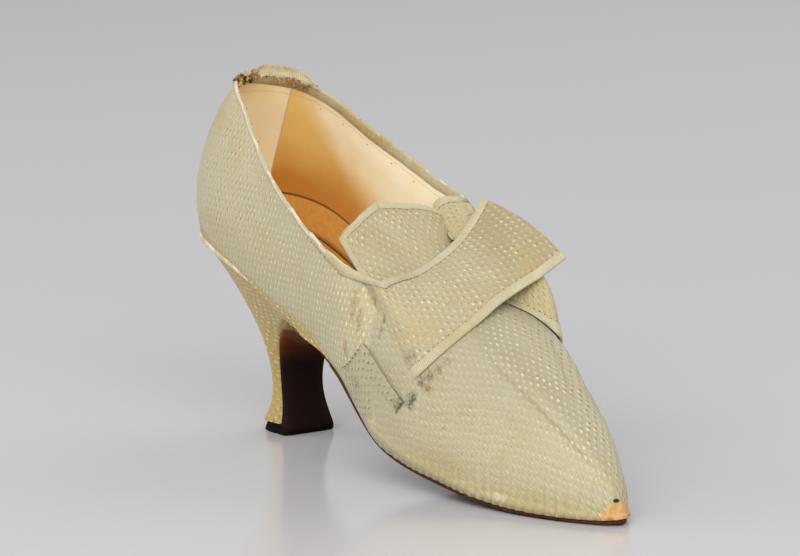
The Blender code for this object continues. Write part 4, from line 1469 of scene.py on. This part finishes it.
def wing_spot(side, part, share):
    """A place on the wing: part runs from its tail to its tip, share from its foot to its edge."""
    foot = WING_FOOT[0] + (WING_FOOT[1] - WING_FOOT[0]) * part
    if part < WING_RISE:
        head = WING_TAIL + (WING_PEAK - WING_TAIL) * (part / WING_RISE)
    else:
        head = WING_PEAK + (WING_TIP - WING_PEAK) * ((part - WING_RISE) / (1.0 - WING_RISE))
    back, height = foot + (head - foot) * share
    spot = flank(back, height, side)
    fading = rising(part, 0.45, 0.8) * (1.0 - rising(share, 0.45, 0.8))
    return spot + sideways(spot) * (0.5 + 0.15 * share ** 6 - 1.1 * fading) * MM


def sideways(point):
    """Away from the shoe's side."""
    return unit(outward(point) * np.array((0.2, 1.0, 0.25)))


class SHOE_OT_wing(bpy.types.Operator):
    """Builds the vamp's wing sewn over the quarter at the side, and the fold at the heel seat."""

    bl_idname = "shoe.wing"
    bl_label = "Wing and seat fold"

    def execute(self, context):
        # Dark spots at the wing's tip and near its tail.
        wing_dark_spots = (
            (tuple(flank(-1.05, 0.34) / MM), (6.0, 5.0, 5.0), "dirt", 0.95),
            (tuple(flank(0.7, 0.2) / MM), (4.0, 4.0, 4.0), "dirt", 0.35),
        )
        # The wing's dots are barely painted lit, and the gaps beside them are in deep painted shade.
        coat = figured_silk("wing_silk", 0.25, 1.3, wing_dark_spots, turn=0.5, paint=wing_wear)
        thread = thread_finish()
        work = bmesh.new()
        sewing = bmesh.new()
        shadows = bmesh.new()
        rows = 40
        columns = 20
        peak = int(rows * WING_RISE)
        for side in (-1.0, 1.0):
            points = sheet(rows, columns, lambda part, share: wing_spot(side, part, share))
            weave = np.stack((middle_run(points), measured(points, 1)), axis=2)
            lay_grid(work, points, weave, outward)
            stitches = []
            for row in range(0, peak - 1, 2):
                spot = points[row, -2]
                out = sideways(spot)
                stitches.append((spot + out * 0.5 * MM, points[row + 1, -2] - spot, out))
            stitch_run(sewing, stitches, context.scene.shoe_sizes.stitch * 0.3)
            self.shadow(shadows, [*points[peak:, -1], *points[-1, columns - 1:columns // 2:-1]])
        finished("vamp_wing", work, (coat,), wall=0.5 * MM)
        finished("wing_stitches", sewing, (thread,))
        # Painted shadow along the wing's edge, partly its seam's thread.
        shade = mottled_finish("wing_seam_shadow", 0.5, 0.65, linear(66, 62, 36), linear(130, 122, 84))
        finished("wing_seam", shadows, (shade,))
        self.seat_fold()
        return {"FINISHED"}

    def shadow(self, work, seam):
        """A thin dark line where the wing's edge stands from the quarter: painted shadow, partly its seam's
        thread.
        """
        grid = []
        cloth = []
        for index, spot in enumerate(seam):
            before = seam[max(index - 1, 0)]
            after = seam[min(index + 1, len(seam) - 1)]
            across = unit(np.cross(after - before, outward(spot)))
            if across[2] < 0.0:
                across = -across
            wide = (0.30 + 0.22 * noise.noise(Vector(spot * 260.0))) * MM
            foot = spot + unit(outward(spot)) * 0.1 * MM
            grid.append([foot - across * 0.1 * MM, foot + across * wide])
            cloth.append([(index * MM, 0.0), (index * MM, wide)])
        lay_grid(work, np.array(grid), cloth, outward)

    def seat_fold(self):
        """The light turned edge of silk along the heel seat."""
        rows = 160
        columns = 8
        shares = [column / columns for column in range(columns + 1)]
        places = [4.95 + (QUARTER_STEPS - 9.9) * row / rows for row in range(rows + 1)]
        falls = []
        gaps = []
        for row, place in enumerate(places):
            thick = math.sin(math.pi * min(max(row / rows, 0.01), 0.99)) ** 0.3
            wave = 1.0 + 0.3 * wave_at(place * 3.0)
            falls.append([(3.6 * share - 1.9) * thick * wave for share in shares])
            gaps.append([0.1 + math.sin(math.pi * share) ** 0.7 * 0.7 * thick for share in shares])
        cloth = sheet(rows, columns, lambda along, across: (along * 0.128, across * 0.0032))
        work = bmesh.new()
        lay_grid(work, lapped(seat_tree(), places, falls, gaps), cloth, outward)
        finish = Finish("seat_fold_silk", 0.55)
        tone = finish.body.noise(0.3, 4.0).fade(0.4, 0.7)
        finish.set("Base Color", finish.mix(tone, linear(238, 226, 196), linear(208, 188, 136)))
        finish.set("Sheen Weight", 0.2)
        finish.bump(finish.weave().turned((6.0, 0.8, 1.0)).noise(1.0), 0.5, 0.0004)
        finished("seat_fold", work, (finish.material,), wall=0.3 * MM)


def seat_tree():
    """The outside of the upper, heel and sole together, for the silk that laps over their joins."""
    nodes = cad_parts
    return surface_tree(bpy.data.objects["upper_silk"], nodes["heel"], nodes["outsole"])


# How far out a lap's rays start, and how far in they reach.
LAP_START = 8.0 * MM
LAP_REACH = 13.0 * MM


def lapped(tree, places, falls, gaps):
    """A strip beside the heel seat: how far each spot falls below it and stands over what is there."""
    spots = np.zeros(np.shape(falls) + (3,))
    outs = np.zeros_like(spots)
    depths = np.zeros(np.shape(falls))
    for row, place in enumerate(places):
        foot = quarter(place, 0.0)
        up = unit(quarter(place, 0.05) - foot)
        out = unit(quarter_normal(place, 0.05) * np.array((1.0, 1.0, 0.0)))
        for column, fall in enumerate(falls[row]):
            spot = foot - (up if fall < 0.0 else np.array((0.0, 0.0, 1.0))) * fall * MM
            found = tree.ray_cast(Vector(spot + out * LAP_START), Vector(-out), LAP_REACH)[0]
            deepest = -(0.4 + 0.55 * max(fall, 0.0)) * MM
            depth = deepest if found is None else max(float(np.dot(np.array(found) - spot, out)), deepest)
            spots[row, column] = spot
            outs[row, column] = out
            depths[row, column] = depth
    even = depths.copy()
    for row in range(len(depths)):
        near = depths[max(row - 4, 0):row + 5]
        even[row] = np.maximum(np.median(near, axis=0), depths[row])
    for row in range(len(depths)):
        depths[row] = np.mean(even[max(row - 2, 0):row + 3], axis=0)
    return spots + outs * (depths + np.asarray(gaps) * MM)[:, :, None]


SHARP_EDGE = math.radians(35.0)
SMOOTH_LEVELS = 2


def refined_copy(node, name, coat, shape=None, hold=0.75):
    """A smooth copy of a solid, moved by its shape, with its sharp edges held as firmly as asked."""
    work = bmesh.new()
    work.from_mesh(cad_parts[node].data)
    bmesh.ops.remove_doubles(work, verts=work.verts, dist=0.000001)
    if shape is not None:
        work.normal_update()
        moves = [shape(vert.co, vert.normal) for vert in work.verts]
        for vert, move in zip(work.verts, moves):
            vert.co = vert.co + move
    flat = math.radians(30.0)
    square = math.radians(60.0)
    bmesh.ops.join_triangles(work, faces=work.faces, angle_face_threshold=flat, angle_shape_threshold=square)
    crease = work.edges.layers.float.new("crease_edge")
    for edge in work.edges:
        if len(edge.link_faces) == 2 and edge.calc_face_angle() > SHARP_EDGE:
            edge[crease] = hold
    for face in work.faces:
        face.smooth = True
    piece = finished(name, work, (coat,), (node,))
    smooth = piece.modifiers.new("Smooth", "SUBSURF")
    smooth.levels = SMOOTH_LEVELS
    smooth.render_levels = SMOOTH_LEVELS


def round_heel(finish):
    """Places on the heel's silk, which runs round its back."""
    x, y, z = finish.body.parts()
    return finish.joined((x + abs(y)) * 0.62, z * 1.45)


def heel_lit(x, y, z):
    """Dots lit toward the top of the heel."""
    return z.fade(10.0, 36.0, 0.4, 1.0)


# How far the heel's laps reach over the seat and under it: steps back of the throat, then millimetres.
LAPS_ABOVE = ((2.3, 2.7, 4.6, 5.3), (0.3, 2.0, 2.2, 0.2))
LAPS_BELOW = ((2.3, 2.6, 3.0, 3.5, 3.75, 3.95, 5.3), (0.3, 0.9, 2.2, 3.3, 4.6, 6.0, 4.5))


class SHOE_OT_heel(bpy.types.Operator):
    """Covers the heel in golden silk and builds its top lift."""

    bl_idname = "shoe.heel"
    bl_label = "Heel"

    def execute(self, context):
        coat = figured_silk("heel_cover_silk", heel_lit, 0.6, turn=-0.09, golden=0.95, place_of=round_heel)
        refined_copy("heel", "heel_cover", coat, drawn_down)
        lift = leather_finish(
            "lift_leather_finish", context.scene.shoe_colours.lift, linear(12, 7, 4), linear(66, 38, 20),
            grain=1.6, roughness=0.75, gloss=0.08,
        )
        refined_copy("top_lift", "heel_top_lift", lift.material, flared_lift, hold=0.4)
        self.laps(coat)
        return {"FINISHED"}

    def laps(self, coat):
        """The heel's silk drawn up over the quarters and along the waist on both sides."""
        tree = seat_tree()
        work = bmesh.new()
        rows = 60
        columns = 12
        shares = [column / columns for column in range(columns + 1)]
        cloth = sheet(rows, columns, lambda along, across: (along * 0.03, across * 0.006))
        for side in (-1.0, 1.0):
            places = []
            falls = []
            gaps = []
            for row in range(rows + 1):
                place = 2.3 + 3.0 * row / rows
                above = np.interp(place, *LAPS_ABOVE)
                below = np.interp(place, *LAPS_BELOW)
                free = 1.0 - rising(place, 3.7, 3.95)
                places.append(place if side < 0.0 else QUARTER_STEPS - place)
                falls.append([-above + (above + below) * share for share in shares])
                gaps.append([
                    0.45 * rising(1.0 - share, 0.0, 0.25) - 0.15 + 0.45 * free * rising(share, 0.75, 1.0)
                    - 0.45 * (1.0 - rising(share, 0.0, 0.2))
                    for share in shares
                ])
            lay_grid(work, lapped(tree, places, falls, gaps), cloth, outward)
        finished("heel_laps", work, (coat,), wall=0.3 * MM)


# The middle of the lift and the back of the waist, along the shoe.
LIFT_MIDDLE = -75.5 * MM
WAIST_BACK = -35.0 * MM


def flared_lift(place, normal):
    """The front of the lift drawn forward to meet the foot of the breast, its top drawn in under the silk."""
    inward = 0.1 * rising(place.z / MM, 3.0, 5.5)
    forward = MM * rising(place.x / MM, -78.0, -66.0)
    return Vector((forward - (place.x - LIFT_MIDDLE) * inward, -place.y * inward, 0.0))


def drawn_down(place, normal):
    """The heel's silk drawn down over the upper part of the lift."""
    low = 1.0 - rising(place.z / MM, 6.5, 8.5)
    back = 1.0 - rising(place.x / MM, -80.0, -70.0)
    return Vector((-1.7 * MM * back, place.y * 0.1, -2.3 * MM)) * low


def trimmed_sole(place, normal):
    """The sole drawn in a little at its edge, and its breast drawn down over the front of the lift."""
    if place.x >= WAIST_BACK:
        return Vector((normal.x, normal.y, 0.0)) * -0.6 * MM
    flare = 1.0 - rising(place.z / MM, 5.0, 16.0)
    low = 1.0 - rising(place.z / MM, 7.0, 8.5)
    forward = 1.6 * flare + 1.4 * low if normal.x > 0.1 else -0.9
    return Vector((forward * MM, place.y * 0.14 * low, -5.2 * MM * low))


def breast_leather(sole):
    """The sole's colour, with its dark breast, a lighter rim along its top that is partly a painted
    highlight, and the silk that shows above it in an arch.
    """
    colours = bpy.context.scene.shoe_colours
    body = sole.body
    x, y, z = body.parts()
    plain = Value(sole, sole.surface.inputs["Base Color"].links[0].from_socket)
    mottle = body.noise(0.16, 5.0)
    dark = sole.mix(z.fade(25.0, 41.0), colours.breast, linear(116, 56, 20))
    dark = sole.mix(mottle.fade(0.4, 0.72) * 0.5, dark, linear(30, 13, 7))
    behind = sole.math("MAXIMUM", -60.5 - x, 0.0)
    arch = 41.7 + (abs(y) - 13.8) * 0.26 - behind * 0.57
    above = z - arch + (mottle - 0.5) * 0.8
    back = x.fade(-50.0, -53.0)
    # Painted highlight in part: a lighter rim along the breast's top, partly the leather's turned edge.
    dark = sole.mix(above.fade(-2.4, -0.6) * back, dark, linear(116, 78, 54))
    silk = sole.mix(body.noise(1.0), colours.golden, linear(150, 124, 66))
    dark = sole.mix(above.fade(-0.3, 0.3) * back, dark, silk)
    return sole.mix(1.0 - x.fade(-46.0, -38.0), plain, dark)


class SHOE_OT_sole(bpy.types.Operator):
    """Finishes the sole with its heel breast, and the insole."""

    bl_idname = "shoe.sole"
    bl_label = "Sole and insole"

    def execute(self, context):
        colours = context.scene.shoe_colours
        sole = leather_finish(
            "sole_leather_finish", colours.sole, linear(62, 36, 24), linear(132, 70, 42),
            grain=1.2, roughness=0.7, gloss=0.1,
        )
        sole.set("Base Color", breast_leather(sole))
        refined_copy("outsole", "outsole_leather", sole.material, trimmed_sole)
        insole = leather_finish(
            "insole_leather_finish", colours.insole, linear(190, 124, 54), linear(216, 160, 88),
            grain=0.8, roughness=0.65,
        )
        refined_copy("insole", "insole_sock", insole.material)
        return {"FINISHED"}


# The photograph's view: target and distance in metres, angles in degrees, lens in millimetres.
CAMERA_TARGET = (-0.005788, 0.0, 0.06675)
CAMERA_DISTANCE = 1.4302
CAMERA_TURN = 55.0
CAMERA_RISE = 10.0
CAMERA_ROLL = -0.6
CAMERA_LENS = 179.5
# Soft lights. Columns: name, place, size, power, colour.
LIGHTS = (
    ("key", (0.70, -1.50, 1.25), 1.5, 16.0, (1.0, 0.985, 0.965)),
    ("front", (1.65, -0.55, 1.15), 1.4, 19.0, (1.0, 0.99, 0.97)),
    ("fill", (-1.4, -1.1, 0.9), 1.5, 8.0, (0.97, 0.98, 1.0)),
    ("rim", (-0.5, 1.5, 1.4), 1.5, 10.0, (1.0, 0.98, 0.95)),
)
LIGHT_TARGET = Vector((0.0, 0.0, 0.05))
SKY_COLOUR = (0.80, 0.80, 0.82, 1.0)
SKY_STRENGTH = 0.6
FLOOR_SIZE = 8.0


class SHOE_OT_stage(bpy.types.Operator):
    """Sets the floor, the soft lights and the camera."""

    bl_idname = "shoe.stage"
    bl_label = "Stage"

    def execute(self, context):
        scene = context.scene
        work = bmesh.new()
        bmesh.ops.create_grid(work, x_segments=8, y_segments=8, size=FLOOR_SIZE)
        mesh = bpy.data.meshes.new("floor")
        work.to_mesh(mesh)
        work.free()
        floor = bpy.data.objects.new("floor", mesh)
        scene.collection.objects.link(floor)
        finish = Finish("floor_finish", 0.16)
        base = scene.shoe_colours.floor
        dull = tuple(channel * 0.96 for channel in base)
        finish.set("Base Color", finish.mix(finish.body.noise(0.002, 2.0), dull, base))
        finish.set("Specular IOR Level", 0.45)
        mesh.materials.append(finish.material)
        for light in LIGHTS:
            self.light(*light)
        world = bpy.data.worlds.new("studio")
        world.use_nodes = True
        sky = world.node_tree.nodes["Background"]
        sky.inputs["Color"].default_value = SKY_COLOUR
        sky.inputs["Strength"].default_value = SKY_STRENGTH
        scene.world = world
        scene.view_settings.view_transform = "Standard"
        self.camera(scene)
        return {"FINISHED"}

    def light(self, name, place, size, power, tint):
        lamp = bpy.data.lights.new(name, "AREA")
        lamp.shape = "DISK"
        lamp.size = size
        lamp.energy = power
        lamp.color = tint
        made = bpy.data.objects.new(name, lamp)
        bpy.context.scene.collection.objects.link(made)
        made.location = place
        aim = LIGHT_TARGET - Vector(place)
        made.rotation_euler = aim.to_track_quat("-Z", "Y").to_euler()

    def camera(self, scene):
        turn = math.radians(CAMERA_TURN)
        rise = math.radians(CAMERA_RISE)
        roll = math.radians(CAMERA_ROLL)
        right = Vector((math.cos(turn), math.sin(turn), 0.0))
        back = Vector((math.sin(turn) * math.cos(rise), -math.cos(turn) * math.cos(rise), math.sin(rise)))
        up = back.cross(right)
        across = right * math.cos(roll) + up * math.sin(roll)
        above = up * math.cos(roll) - right * math.sin(roll)
        lens = bpy.data.cameras.new("photo_view")
        lens.sensor_fit = "HORIZONTAL"
        lens.sensor_width = 36.0
        lens.lens = CAMERA_LENS
        lens.clip_start = 0.05
        view = bpy.data.objects.new("photo_view", lens)
        scene.collection.objects.link(view)
        place = Matrix((across, above, back)).transposed().to_4x4()
        place.translation = Vector(CAMERA_TARGET) + back * CAMERA_DISTANCE
        view.matrix_world = place
        scene.camera = view


OPERATORS = (
    SHOE_OT_upper, SHOE_OT_lining, SHOE_OT_collar, SHOE_OT_wing, SHOE_OT_tongue, SHOE_OT_latchets,
    SHOE_OT_heel, SHOE_OT_sole, SHOE_OT_stage,
)


class SHOE_PT_panel(bpy.types.Panel):
    """Lists the shoe's pieces, sizes and colours."""

    bl_label = "Latchet shoe"
    bl_idname = "SHOE_PT_panel"
    bl_space_type = "VIEW_3D"
    bl_region_type = "UI"
    bl_category = "Shoe"

    def draw(self, context):
        for operator in OPERATORS:
            self.layout.operator(operator.bl_idname)
        for group in (context.scene.shoe_sizes, context.scene.shoe_colours):
            for name in group.bl_rna.properties.keys():
                if name not in ("rna_type", "name"):
                    self.layout.prop(group, name)


CLASSES = (ShoeColours, ShoeSizes, *OPERATORS, SHOE_PT_panel)


def register():
    for item in CLASSES:
        bpy.utils.register_class(item)
    bpy.types.Scene.shoe_colours = bpy.props.PointerProperty(type=ShoeColours)
    bpy.types.Scene.shoe_sizes = bpy.props.PointerProperty(type=ShoeSizes)


def unregister():
    del bpy.types.Scene.shoe_sizes
    del bpy.types.Scene.shoe_colours
    for item in reversed(CLASSES):
        bpy.utils.unregister_class(item)


def main():
    register()
    bpy.ops.shoe.upper()
    bpy.ops.shoe.lining()
    bpy.ops.shoe.collar()
    bpy.ops.shoe.wing()
    bpy.ops.shoe.tongue()
    bpy.ops.shoe.latchets()
    bpy.ops.shoe.heel()
    bpy.ops.shoe.sole()
    bpy.ops.shoe.stage()


if __name__ == "__main__":
    main()
